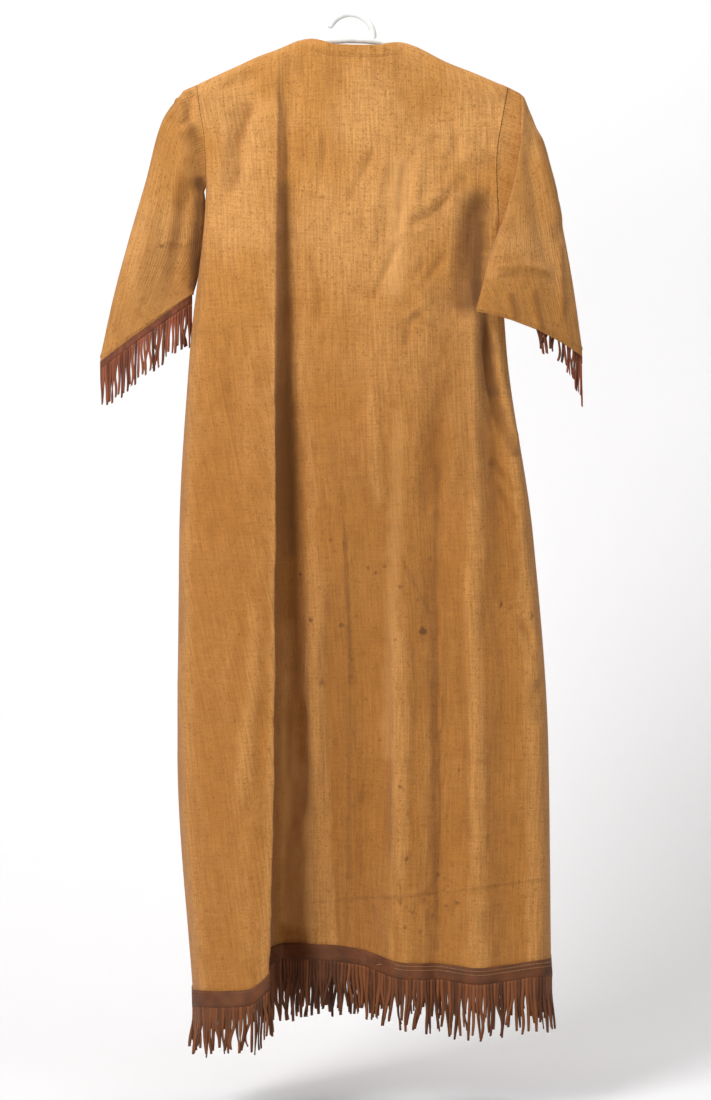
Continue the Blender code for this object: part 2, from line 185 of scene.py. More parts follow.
BACK_FOLDS = (
    LEFT_SEAM,
    FoldLine("left turn", 1, -77, -1155,
             (-174, -173, -167, -166, -183, -194, -195, -176), (-9, -14, -15, -12, -22, -42, -66, -86)),
    FoldLine("left groove", 1, -60, -1152,
             (-137, -137, -141, -144, -150, -157, -160, -147), (-9, -13, -17, -20, -34, -57, -86, -108)),
    FoldLine("left face", 1, -46, -1148,
             (-106, -106, -109, -111, -115, -116, -115, -116), (-9, -17, -25, -30, -46, -68, -97, -119)),
    FoldLine("crest", 1, -40, -1129,
             (-89, -89, -89, -89, -90, -89, -89, -95), (-9, -18, -27, -32, -48, -68, -94, -114)),
    FoldLine("tuck", 1, -37, -1116,
             (-82, -83, -83, -84, -87, -93, -97, -102), (-9, -12, -18, -21, -29, -39, -52, -62)),
    FoldLine("valley", 1, -34, -1111,
             (-75, -76, -76, -76, -73, -73, -77, -82), (-9, -8, -10, -12, -15, -14, -8, -3)),
    FoldLine("left neck ridge", 1, -28, -1108,
             (-61, -60, -60, -60, -58, -43, -39, -30), (-9, -11, -14, -17, -23, -29, -34, -34)),
    FoldLine("left crease", 0, -35, -1115,
             (-20, -20, -18, -18, -15, -3, 14, 15), (-14, -13, -18, -22, -28, -34, -31, -29)),
    FoldLine("centre", 0, -36, -1126,
             (36, 41, 44, 46, 48, 55, 63, 63), (-14, -15, -21, -26, -35, -46, -56, -62)),
    FoldLine("right neck", 1, -33, -1127,
             (73, 75, 76, 77, 76, 78, 87, 83), (-9, -13, -18, -24, -33, -44, -54, -59)),
    FoldLine("right crease", 1, -55, -1128,
             (116, 119, 119, 118, 107, 102, 108, 102), (-9, -10, -14, -19, -28, -38, -46, -50)),
    FoldLine("right ridge", 1, -68, -1132,
             (149, 149, 145, 143, 145, 146, 151, 150), (-9, -10, -11, -13, -28, -45, -56, -64)),
    FoldLine("right groove", 1, -74, -1130,
             (163, 163, 159, 159, 165, 178, 184, 184), (-9, -10, -9, -7, -9, -30, -46, -52)),
    FoldLine("right strip", 1, -80, -1125,
             (177, 176, 165, 168, 179, 207, 223, 224), (-9, -10, -9, -5, -9, -26, -42, -46)),
    RIGHT_SEAM,
)

FRONT_FOLDS = (
    LEFT_SEAM,
    FoldLine("left turn", 1, -77, -1156,
             (-174, -173, -167, -166, -184, -196, -199, -184), (9, 13, 14, 12, 20, 12, -4, -14)),
    FoldLine("left ridge", 1, -51, -1146,
             (-118, -118, -118, -120, -128, -134, -138, -132), (9, 14, 20, 24, 36, 42, 46, 48)),
    FoldLine("left neck", 1, -28, -1136,
             (-61, -61, -62, -63, -70, -76, -80, -78), (9, 12, 17, 20, 26, 26, 22, 20)),
    FoldLine("inner ridge", 0, -68, -1132,
             (-32, -28, -26, -26, -28, -31, -34, -34), (14, 16, 22, 27, 38, 47, 55, 60)),
    FoldLine("centre valley", 0, -82, -1129,
             (6, 8, 10, 12, 13, 12, 10, 10), (15, 17, 22, 26, 34, 37, 38, 38)),
    FoldLine("outer ridge", 0, -70, -1128,
             (44, 45, 47, 50, 55, 60, 62, 60), (14, 16, 23, 28, 41, 54, 64, 70)),
    FoldLine("right neck", 1, -33, -1128,
             (73, 73, 76, 80, 92, 104, 112, 110), (9, 12, 17, 20, 28, 35, 40, 42)),
    FoldLine("right ridge", 1, -55, -1128,
             (116, 119, 122, 126, 140, 158, 172, 172), (9, 13, 18, 22, 35, 51, 61, 66)),
    FoldLine("right turn", 1, -80, -1127,
             (177, 176, 166, 169, 182, 209, 224, 226), (9, 10, 12, 12, 24, 28, 28, 30)),
    RIGHT_SEAM,
)

LEFT_RINGS = (
    SleeveRing(0.05, -200, -89, 0, -177, -210, 4, 14, 13, 0, 0),
    SleeveRing(0.16, -225, -124, 0, -175, -230, 11, 16, 15, -2, 0),
    SleeveRing(0.38, -245, -196, 1, -177.5, -261, 14, 18, 18, -2, 0),
    SleeveRing(0.60, -266, -268, 2, -181, -288, 14, 19, 19, -1, 0),
    SleeveRing(0.81, -285, -340, 2, -184.5, -312, 13, 18, 19, 0, 1),
    SleeveRing(1.00, -301, -414, 2, -190, -333, 6, 16, 18, 0, 3),
)

RIGHT_RINGS = (
    SleeveRing(0.05, 202, -91.5, 0, 182, -253.5, -3, 7, 13, -12, 0),
    SleeveRing(0.10, 207, -96, 0, 180, -255, -6, 17, 14, -7, 0),
    SleeveRing(0.18, 214, -113, 0, 177, -263, -12, 17, 14, -3, 0),
    SleeveRing(0.40, 232, -160, 0, 169, -280, -22, 16, 13, 0, 0),
    SleeveRing(0.60, 250, -232, 2, 163, -302, -32, 14, 13, 0, 0),
    SleeveRing(0.80, 266, -316, 4, 156, -330, -40, 13, 12, 2, 16),
    SleeveRing(1.00, 279, -407, 5, 149, -357, -45, 12, 11, 7, 44),
)

BACK_CREASES = (
    Crease("long crease", TURN, 9, 2.6,
           ((-14, -504), (-6, -580), (-2, -665), (4, -750), (10, -834), (16, -919), (16, -1004),
            (15, -1101))),
    Crease("right long crease", TURN, 9, 2.6,
           ((106, -651), (106, -746), (106, -834), (110, -940), (106, -1046), (103, -1123))),
    Crease("soft right valley", VALLEY, 30, 5,
           ((115, -284), (118, -424), (101, -521), (94, -580), (99, -628))),
    Crease("inner ridge", RIDGE, 14, 5, ((-33, -651), (-35, -686), (-44, -791), (-41, -877), (-36, -961))),
    Crease("inner valley", VALLEY, 12, 5, ((-56, -806), (-57, -877), (-59, -972))),
    Crease("small valley", VALLEY, 8, 3, ((-70, -912), (-70, -978))),
    Crease("shoulder groove", VALLEY, 20, 4.5, ((-113, -96), (-131, -127), (-139, -165), (-142, -225))),
    Crease("shoulder ridge", RIDGE, 18, 3, ((-127, -96), (-145, -142), (-152, -201))),
    Crease("under shoulder", VALLEY, 15, 3, ((-162, -88), (-131, -77), (-103, -68))),
    Crease("left panel ridge", RIDGE, 16, 3,
           ((-110, -687), (-113, -758), (-114, -813), (-123, -898), (-131, -940))),
    Crease("left cross crease", VALLEY, 5, 1.4, ((-202, -624), (-149, -621), (-95, -623))),
    Crease("left lower cross crease", VALLEY, 5, 1.4, ((-181, -681), (-112, -679))),
    Crease("chest wrinkle", VALLEY, 7, 3, ((67, -166), (61, -201), (59, -232), (56, -274))),
    Crease("chest left ridge", RIDGE, 15, 3.5, ((44, -160), (35, -196), (28, -240), (24, -280))),
    Crease("chest right ridge", RIDGE, 11, 3, ((85, -160), (80, -205), (74, -247))),
    Crease("blade ridge", RIDGE, 12, 2.8, ((137, -182), (116, -203), (94, -226), (70, -244))),
    Crease("blade valley", VALLEY, 7, 2.4, ((126, -208), (111, -222), (92, -241), (66, -255))),
    Crease("upper chest drag", VALLEY, 8, 2.4, ((30, -150), (18, -180), (4, -206), (-4, -232))),
    Crease("long chest drag", VALLEY, 8, 2.4, ((60, -268), (48, -294), (32, -328), (22, -350))),
    Crease("mid drag", VALLEY, 8, 2.4, ((116, -284), (100, -304), (84, -328))),
    Crease("mid crumple", RIDGE, 6, 2.2, ((64, -366), (74, -356), (88, -350))),
    Crease("mid crumple valley", VALLEY, 6, 2.2, ((80, -364), (92, -371), (106, -375))),
    Crease("beside sleeve", VALLEY, 27, 10, ((152, -214), (147, -262), (140, -312), (130, -372))),
    Crease("upper left drag", VALLEY, 9, 2.2, ((-28, -130), (-34, -176), (-44, -232))),
    Crease("lower left drag", VALLEY, 9, 2.0, ((-52, -270), (-40, -330), (-36, -392))),
    Crease("hip drag", RIDGE, 16, 3, ((24, -430), (30, -520), (34, -600))),
    Crease("left hip drag", VALLEY, 12, 2.4, ((-150, -430), (-136, -500), (-130, -560))),
    Crease("skirt ridge", RIDGE, 18, 4, ((60, -700), (62, -820), (60, -940), (58, -1050))),
    Crease("skirt valley", VALLEY, 16, 4, ((38, -690), (38, -800), (40, -930), (40, -1040))),
    Crease("right skirt ridge", RIDGE, 16, 4, ((140, -640), (146, -760), (150, -900), (150, -1040))),
    Crease("neck wrinkle", VALLEY, 10, 2.5, ((118, -115), (125, -147), (125, -175))),
    Crease("armhole tension", RIDGE, 12, 2.5, ((137, -165), (154, -168), (170, -175))),
    Crease("mid wrinkle", VALLEY, 9, 2, ((91, -293), (71, -322))),
    Crease("lower mid wrinkle", VALLEY, 10, 2, ((92, -350), (72, -369), (64, -402))),
    Crease("edge valley", VALLEY, 9, 4, ((163, -357), (163, -396), (167, -438), (177, -483), (192, -523))),
    Crease("edge ridge", RIDGE, 8, 3, ((170, -360), (176, -414), (183, -452), (194, -497), (202, -533))),
    Crease("edge fold", VALLEY, 7, 3, ((166, -530), (183, -549), (202, -577))),
    Crease("lower edge fold", VALLEY, 7, 3, ((176, -561), (189, -586), (203, -612))),
    Crease("side crease", TURN, 7, -2.5, ((168, -701), (195, -710), (222, -720))),
    Crease("side hollow", VALLEY, 9, 4, ((201, -725), (213, -737), (218, -761))),
    Crease("side notch", VALLEY, 9, 4, ((225, -789), (221, -820), (226, -851))),
    Crease("hem cross crease", VALLEY, 4, 1.0, ((77, -1050), (142, -1046), (219, -1050))),
    Crease("gather 1", VALLEY, 5, 2, ((-38, -1061), (-37, -1107))),
    Crease("gather 2", VALLEY, 6, 2.5, ((-28, -1037), (-27, -1108))),
    Crease("gather 3", VALLEY, 5, 2, ((-14, -1007), (-12, -1108))),
    Crease("gather 4", VALLEY, 6, 2, ((-2, -1037), (-1, -1114))),
    Crease("gather 5", VALLEY, 5, 1.6, ((26, -1055), (27, -1121))),
    Crease("gather 6", VALLEY, 5, 1.6, ((53, -1072), (54, -1128))),
)

FRONT_CREASES = (
    Crease("left hollow", VALLEY, 20, 4, ((-110, -110), (-128, -160), (-134, -240))),
    Crease("left long crease", TURN, 9, 2.5, ((-98, -560), (-102, -700), (-108, -850), (-104, -1100))),
    Crease("neck drag", VALLEY, 9, 2, ((-30, -120), (-44, -170), (-50, -230))),
    Crease("centre crease", VALLEY, 8, 3, ((12, -430), (14, -600), (8, -780), (6, -900))),
    Crease("right drag", RIDGE, 12, 3, ((120, -180), (96, -214), (74, -250))),
    Crease("right long crease", TURN, 9, 2.5, ((96, -620), (104, -760), (112, -920), (108, -1110))),
    Crease("waist crease", VALLEY, 6, 1.5, ((-150, -600), (-90, -612), (-30, -606))),
    Crease("side crease", VALLEY, 7, 3, ((160, -520), (178, -560), (196, -598))),
    Crease("low cross crease", VALLEY, 5, 1.2, ((-60, -905), (20, -898), (90, -908))),
    Crease("hem gather", VALLEY, 6, 2, ((-34, -1040), (-33, -1116))),
    Crease("second hem gather", VALLEY, 6, 2, ((58, -1050), (59, -1118))),
)

LEFT_SLEEVE_CREASES = (
    Crease("cap dent", VALLEY, 8, 5, ((-206, -96), (-203, -112), (-202, -132))),
    Crease("cap ridge", RIDGE, 10, 5, ((-190, -92), (-190, -112), (-192, -131))),
    Crease("under cap", VALLEY, 17, 8, ((-203, -128), (-191, -150), (-187, -180), (-188, -212))),
    Crease("long drag", VALLEY, 14, 3.5, ((-196, -150), (-203, -190), (-210, -240), (-216, -290))),
    Crease("soft drag", VALLEY, 18, 3, ((-224, -210), (-240, -270), (-254, -330))),
    Crease("inner drag", RIDGE, 12, 3, ((-200, -210), (-206, -270), (-214, -330))),
    Crease("middle cross crease", VALLEY, 6, 1.5, ((-236, -276), (-212, -272), (-190, -274))),
)

RIGHT_SLEEVE_CREASES = (
    Crease("cross crease", VALLEY, 7, 3, ((167, -308), (201, -303), (247, -310))),
    Crease("lower cross crease", RIDGE, 6, 2, ((170, -318), (204, -314), (246, -322))),
    Crease("middle ridge", RIDGE, 14, 4, ((212, -140), (218, -200), (230, -270), (238, -310))),
    Crease("outer valley", VALLEY, 12, 4, ((222, -130), (236, -190), (252, -262))),
    Crease("long crease", VALLEY, 7, 3, ((252, -262), (252, -310), (254, -372))),
    Crease("lower fold", VALLEY, 8, 3, ((186, -330), (196, -368))),
    Crease("second lower fold", VALLEY, 8, 3, ((214, -326), (228, -384))),
)

# Stains of the back and the sleeves, and soft dark and light streaks, most of which are painted shade, painted
# shadow and painted light
BACK_SPOTS = (
    Spot(86, -736, 5.4, 0.9), Spot(-47, -723, 3.0, 0.7), Spot(-11, -729, 3.6, 0.6),
    Spot(-34, -797, 3.6, 0.5), Spot(59, -919, 3.0, 0.6), Spot(66, -1004, 3.0, 0.6),
    Spot(104, -1023, 3.0, 0.6), Spot(125, -1057, 3.0, 0.6), Spot(-60, -669, 2.4, 0.6),
    Spot(59, -683, 3.0, 0.5), Spot(21, -661, 2.4, 0.5), Spot(30, -666, 2.2, 0.5),
    Spot(40, -659, 1.8, 0.5), Spot(80, -699, 2.4, 0.4), Spot(2, -770, 2.4, 0.4),
    Spot(18, -817, 2.4, 0.4), Spot(53, -746, 1.9, 0.4), Spot(94, -651, 2.4, 0.4),
    Spot(-24, -628, 1.9, 0.4), Spot(128, -900, 2.4, 0.4), Spot(35, -865, 1.9, 0.4),
    Spot(59, -1055, 3.6, 0.4), Spot(73, -1067, 3.0, 0.4), Spot(87, -1052, 2.4, 0.4),
    Spot(97, -1072, 3.0, 0.4), Spot(113, -1061, 2.6, 0.4), Spot(64, -1084, 2.4, 0.4),
    Spot(82, -1090, 2.4, 0.4),
)

SLEEVE_SPOTS = (Spot(-226, -276, 2.4, 0.6),)

# Dark streaks of the back, in the stain colour. The first two are painted shadow beside the right sleeve, the
# next two painted shade in the dark fold along the right edge, and the fifth painted shade in the valley right
# of the crest. The thin ones down the two long creases and across the hem are painted shade lines in those
# creases. The broad ones over the lower middle and the rest only darken the cloth there.
BACK_STREAKS = (
    Streak(152, -222, 142, -345, 27, 0.72), Streak(158, -250, 150, -338, 11, 0.40),
    Streak(162, -356, 172, -450, 11, 0.62), Streak(172, -450, 196, -526, 9, 0.48),
    Streak(-78, -210, -72, -640, 17, 0.42), Streak(-20, -700, 0, -1080, 60, 0.14),
    Streak(20, -560, 90, -800, 70, 0.10), Streak(136, -380, 128, -560, 34, 0.16),
    Streak(-142, -118, -148, -200, 14, 0.16), Streak(-6, -610, 0, -790, 5, 0.34),
    Streak(0, -790, -3, -1030, 4, 0.26), Streak(103, -540, 97, -800, 6, 0.30),
    Streak(97, -800, 102, -1110, 5, 0.26), Streak(-60, -1060, 94, -1046, 3, 0.24),
    Streak(94, -1046, 226, -1030, 3, 0.26), Streak(61, -651, 92, -711, 4, 0.22),
    Streak(126, -700, 140, -980, 8, 0.16),
)

# Lighter streaks of the back. The first four are painted light in the lower part of the deep valley right of
# the crest; the last two only lighten the cloth there.
BACK_LIGHTER_STREAKS = (
    Streak(-74, -735, -72, -1080, 18, 0.20), Streak(-73, -795, -72, -1080, 18, 0.22),
    Streak(-73, -860, -70, -1080, 18, 0.24), Streak(-60, -900, -52, -1085, 16, 0.30),
    Streak(60, -180, 52, -330, 20, 0.40), Streak(58, -480, 44, -880, 14, 0.22),
)

# Dark streaks of the sleeves. The first is painted shadow in the gap between the left sleeve and the body, the
# second painted shade in the valley under the left sleeve's cap, and the last painted shadow under the right
# sleeve's folded edge; the broad third one only darkens the lower middle of the left sleeve.
SLEEVE_STREAKS = (
    Streak(-180, -198, -189, -322, 9, 0.75), Streak(-192, -132, -188, -196, 12, 0.30),
    Streak(-214, -272, -236, -340, 34, 0.16), Streak(204, -96, 212, -150, 8, 0.20),
)


def mix(a: float, b: float, t: float) -> float:
    """Blend two values.

    Args:
        a: The value at t = 0.
        b: The value at t = 1.
        t: The share of the way from a to b.

    Returns:
        The value that share of the way along.
    """
    return a + (b - a) * t


def smoothstep(low: float, high: float, value: float) -> float:
    """Ease from 0 to 1.

    Args:
        low: Where the rise starts.
        high: Where the rise ends.
        value: The value to read it at.

    Returns:
        0 below low, 1 above high, and a smooth rise between.
    """
    t = min(max((value - low) / (high - low), 0.0), 1.0)
    return t * t * (3 - 2 * t)


def piecewise(value: float, knots: Sequence[float], results: Sequence[float]) -> float:
    """Read a line of straight stretches.

    Args:
        value: The place to read it at.
        knots: Rising places.
        results: The results there.

    Returns:
        The result at the place.
    """
    number = 0
    while number < len(knots) - 2 and value > knots[number + 1]:
        number += 1
    share = (value - knots[number]) / (knots[number + 1] - knots[number])
    return mix(results[number], results[number + 1], share)


class SmoothCurve:
    """A smooth curve through values that never swings past them."""

    def __init__(self, knots: Sequence[float], values: Sequence[float], flat_ends: bool = False) -> None:
        """Work out the slopes.

        Args:
            knots: Rising places of the values.
            values: The values there.
            flat_ends: True where the curve leaves both ends with no slope.
        """
        self.knots = list(knots)
        self.values = list(values)
        self.spans = [b - a for a, b in zip(knots, knots[1:])]
        rises = [(b - a) / span for a, b, span in zip(values, values[1:], self.spans)]
        self.slopes = [0.0 if flat_ends else rises[0]]
        for before, after, left, right in zip(rises, rises[1:], self.spans, self.spans[1:]):
            if before * after <= 0:
                self.slopes.append(0.0)
            else:
                heavy, light = 2 * right + left, right + 2 * left
                self.slopes.append((heavy + light) / (heavy / before + light / after))
        self.slopes.append(0.0 if flat_ends else rises[-1])

    def __call__(self, knot: float) -> float:
        """Read the curve.

        Args:
            knot: The place to read it at.

        Returns:
            The value there, straight on past the last knot.
        """
        index = 0
        while index < len(self.spans) - 1 and knot > self.knots[index + 1]:
            index += 1
        span = self.spans[index]
        t = (knot - self.knots[index]) / span
        if t > 1:
            return self.values[index + 1] + self.slopes[index + 1] * (knot - self.knots[index + 1])
        rise = t * t * (3 - 2 * t)
        bend = span * t * (1 - t) * ((1 - t) * self.slopes[index] - t * self.slopes[index + 1])
        return mix(self.values[index], self.values[index + 1], rise) + bend


shoulder_z = SmoothCurve([point[0] for point in SHOULDER_LINE], [point[1] for point in SHOULDER_LINE])


def shoulder_rounding(x: float, z: float) -> float:
    """How far the cloth has turned over the hanger.

    Args:
        x: Across the dress.
        z: Height.

    Returns:
        0 on the shoulder line, and 1 where the cloth hangs clear of it.
    """
    below = shoulder_z(x) - z
    return math.sqrt(max(0.0, 1 - max(0.0, 1 - below / SHOULDER_ROUND) ** 2))


def underarm_z(x: float) -> float:
    """The height of the underarm section at x, which is lower on the right."""
    return mix(UNDERARM_LEFT_Z, UNDERARM_RIGHT_Z, (x + HALF_SHOULDER_SPAN) / (2 * HALF_SHOULDER_SPAN))


def armhole_depth(share: float) -> float:
    """How far the armhole stands open at a share of its height."""
    return ARMHOLE_DEPTH * max(4 * share * (1 - share), 0.0) ** ARMHOLE_SQUARE


class CreaseField:
    """All the creases of one wall."""

    FADE = 0.18

    def __init__(self, creases: Sequence[Crease]) -> None:
        """Keep each crease with its box.

        Args:
            creases: The creases of the wall.
        """
        self.entries = []
        for crease in creases:
            xs = [x for x, _ in crease.points]
            zs = [z for _, z in crease.points]
            reach = crease.width
            box = (min(xs) - reach, max(xs) + reach, min(zs) - reach, max(zs) + reach)
            self.entries.append((crease, box))

    def height(self, x: float, z: float) -> float:
        """Add up the creases at a place.

        Args:
            x: Across the dress.
            z: Height.

        Returns:
            How far the cloth is moved outwards.
        """
        total = 0.0
        for crease, (left, right, low, high) in self.entries:
            if left < x < right and low < z < high:
                total += self.one(crease, x, z)
        return total

    def one(self, crease: Crease, x: float, z: float) -> float:
        """Read one crease.

        Args:
            crease: The crease.
            x: Across the dress.
            z: Height.

        Returns:
            Its height at the place.
        """
        nearest, signed, place, run = 1e9, 0.0, 0.0, 0.0
        for (ax, az), (bx, bz) in zip(crease.points, crease.points[1:]):
            dx, dz = bx - ax, bz - az
            length = math.hypot(dx, dz)
            t = min(max(((x - ax) * dx + (z - az) * dz) / length**2, 0.0), 1.0)
            px, pz = x - ax - dx * t, z - az - dz * t
            gap = math.hypot(px, pz)
            if gap < nearest:
                nearest, place = gap, run + t * length
                signed = gap if dx * pz - dz * px > 0 else -gap
            run += length
        if nearest >= crease.width:
            return 0.0
        share = place / run
        fade = smoothstep(0, self.FADE, share) * smoothstep(0, self.FADE, 1 - share)
        near = 1 - nearest / crease.width
        if crease.kind is CreaseKind.TURN:
            return crease.height * fade * near * near * (1 if signed > 0 else -1)
        body = near * near * (3 - 2 * near)
        return crease.height * fade * body * (1 if crease.kind is CreaseKind.RIDGE else -1)


def crumple(x: float, z: float, seed: float, strength: float) -> float:
    """Small unevenness of an old, much-used canvas wall.

    Args:
        x: Across the wall.
        z: Down the wall.
        seed: A different number for each wall.
        strength: The height of the largest dents.

    Returns:
        How far the cloth is moved outwards.
    """
    broad = noise.noise(Vector((x / 42, z / 85, seed)))
    sharp = 1 - abs(noise.noise(Vector((x / 24, z / 46, seed + 7)))) * 2
    small = noise.noise(Vector((x / 9, z / 13, seed + 19)))
    return strength * (broad + 0.35 * (sharp - 0.6) + 0.22 * small)


@dataclass
class ClothPiece:
    """A cloth shell: a fine grid whose points are moved onto a surface and creased."""

    name: str
    columns: int
    rows: int
    creases: Sequence[Crease]
    seed: float
    closed: bool = False
    outward: int = 1
    hollow_depth: float = 14.0
    base: list[list[Vector]] = field(default_factory=list)
    shell: list[list[Vector]] = field(default_factory=list)

    def surface(self) -> list[list[Vector]]:
        """Rows of points of the smooth surface, each from its first column to its last."""
        raise NotImplementedError

    def relief(self, point: Vector, column: float, row: float) -> float:
        """How far the cloth stands out at a place.

        Args:
            point: The place on the smooth surface.
            column: Share of the way across.
            row: Share of the way down.

        Returns:
            The distance outwards.
        """
        raise NotImplementedError

    def normal(self, column: int, row: int) -> Vector:
        """The outward direction at a point of the grid.

        Args:
            column: The point's column.
            row: The point's row.

        Returns:
            A vector of length 1.
        """
        above = self.base[max(row - 1, 0)][column]
        below = self.base[min(row + 1, self.rows)][column]
        if self.closed:
            left = self.base[row][(column - 1) % self.columns]
            right = self.base[row][(column + 1) % self.columns]
        else:
            left = self.base[row][max(column - 1, 0)]
            right = self.base[row][min(column + 1, self.columns)]
        return (right - left).cross(above - below).normalized() * self.outward

    def place(self) -> None:
        """Works out the creased shell."""
        self.base = self.surface()
        self.shell = []
        for row in range(self.rows + 1):
            line = []
            for column in range(self.columns + 1):
                point = self.base[row][column]
                lift = self.relief(point, column / self.columns, row / self.rows)
                line.append(point + self.normal(column, row) * lift)
            self.shell.append(line)

    def hollow_at(self, column: int, row: int) -> float:
        """How far a point lies behind the cloth at its left and right, which the canvas finish reads to paint
        shade in the valleys and light on the ridges.

        Args:
            column: The point's column.
            row: The point's row.

        Returns:
            0.5 on flat cloth, more in a valley and less on a ridge.
        """
        line = self.shell[row]
        here = line[column]
        total = Vector()
        for step in (3, 7):
            for other in (column - step, column + step):
                other = other % self.columns if self.closed else min(max(other, 0), self.columns)
                total += line[other] - here
        return 0.5 + total.dot(self.normal(column, row)) / 4 / self.hollow_depth

    def flat_places(self) -> list[list[tuple[float, float]]]:
        """The cloth's own coordinates in metres.

        Returns:
            Rows of places, across from the middle column or a tube's outer edge and down from the top.
        """
        middle = 0 if self.closed else self.columns // 2
        down, result = 0.0, []
        for number, row in enumerate(self.base):
            if number:
                down += (row[middle] - self.base[number - 1][middle]).length
            across = [0.0]
            for a, b in zip(row, row[1:]):
                across.append(across[-1] + (b - a).length)
            result.append([((value - across[middle]) * MM, -down * MM) for value in across])
        return result

    def build(self, finish: bpy.types.Material) -> bpy.types.Object:
        """Make the shell.

        Args:
            finish: The cloth's material.

        Returns:
            The finished object.
        """
        self.place()
        flat = self.flat_places()
        bm = bmesh.new()
        bmesh.ops.create_grid(bm, x_segments=self.columns, y_segments=self.rows, size=0.5, calc_uvs=True)
        uv = bm.loops.layers.uv.verify()
        hollow = bm.verts.layers.float.new("hollow")
        places = {}
        for vert in bm.verts:
            column = round((vert.co.x + 0.5) * self.columns)
            row = round((0.5 - vert.co.y) * self.rows)
            places[vert] = (column, row)
        half = self.columns // 2
        for face in bm.faces:
            beyond = self.closed and sum(places[vert][0] for vert in face.verts) > 4 * half
            for loop in face.loops:
                column, row = places[loop.vert]
                u, v = flat[row][column]
                loop[uv].uv = (u - flat[row][-1][0], v) if beyond else (u, v)
        for vert, (column, row) in places.items():
            vert.co = self.shell[row][column]
            vert[hollow] = self.hollow_at(column, row)
        if self.closed:
            bmesh.ops.remove_doubles(bm, verts=bm.verts, dist=0.001)
        return finish_mesh(self.name, bm, finish, CLOTH_THICKNESS)


def finish_mesh(
    name: str, bm: bmesh.types.BMesh, finish: bpy.types.Material, thickness: float = 0.0
) -> bpy.types.Object:
    """Turn a mesh in millimetres into an object in metres that rides on the dress.

    Args:
        name: The piece's name.
        bm: The mesh, which is used up.
        finish: Its material.
        thickness: The thickness to give an open sheet, or 0.

    Returns:
        The object.
    """
    bmesh.ops.scale(bm, vec=(MM, MM, MM), verts=bm.verts)
    mesh = bpy.data.meshes.new(name)
    bm.to_mesh(mesh)
    bm.free()
    mesh.shade_smooth()
    mesh.materials.append(finish)
    made = bpy.data.objects.new(name, mesh)
    bpy.context.scene.collection.objects.link(made)
    if thickness:
        wall = made.modifiers.new("Thickness", "SOLIDIFY")
        wall.thickness = thickness * MM
        wall.offset = 0
        wall.use_even_offset = False
    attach(made, "root")
    logger.info("%s: %d faces", name, len(mesh.polygons))
    return made


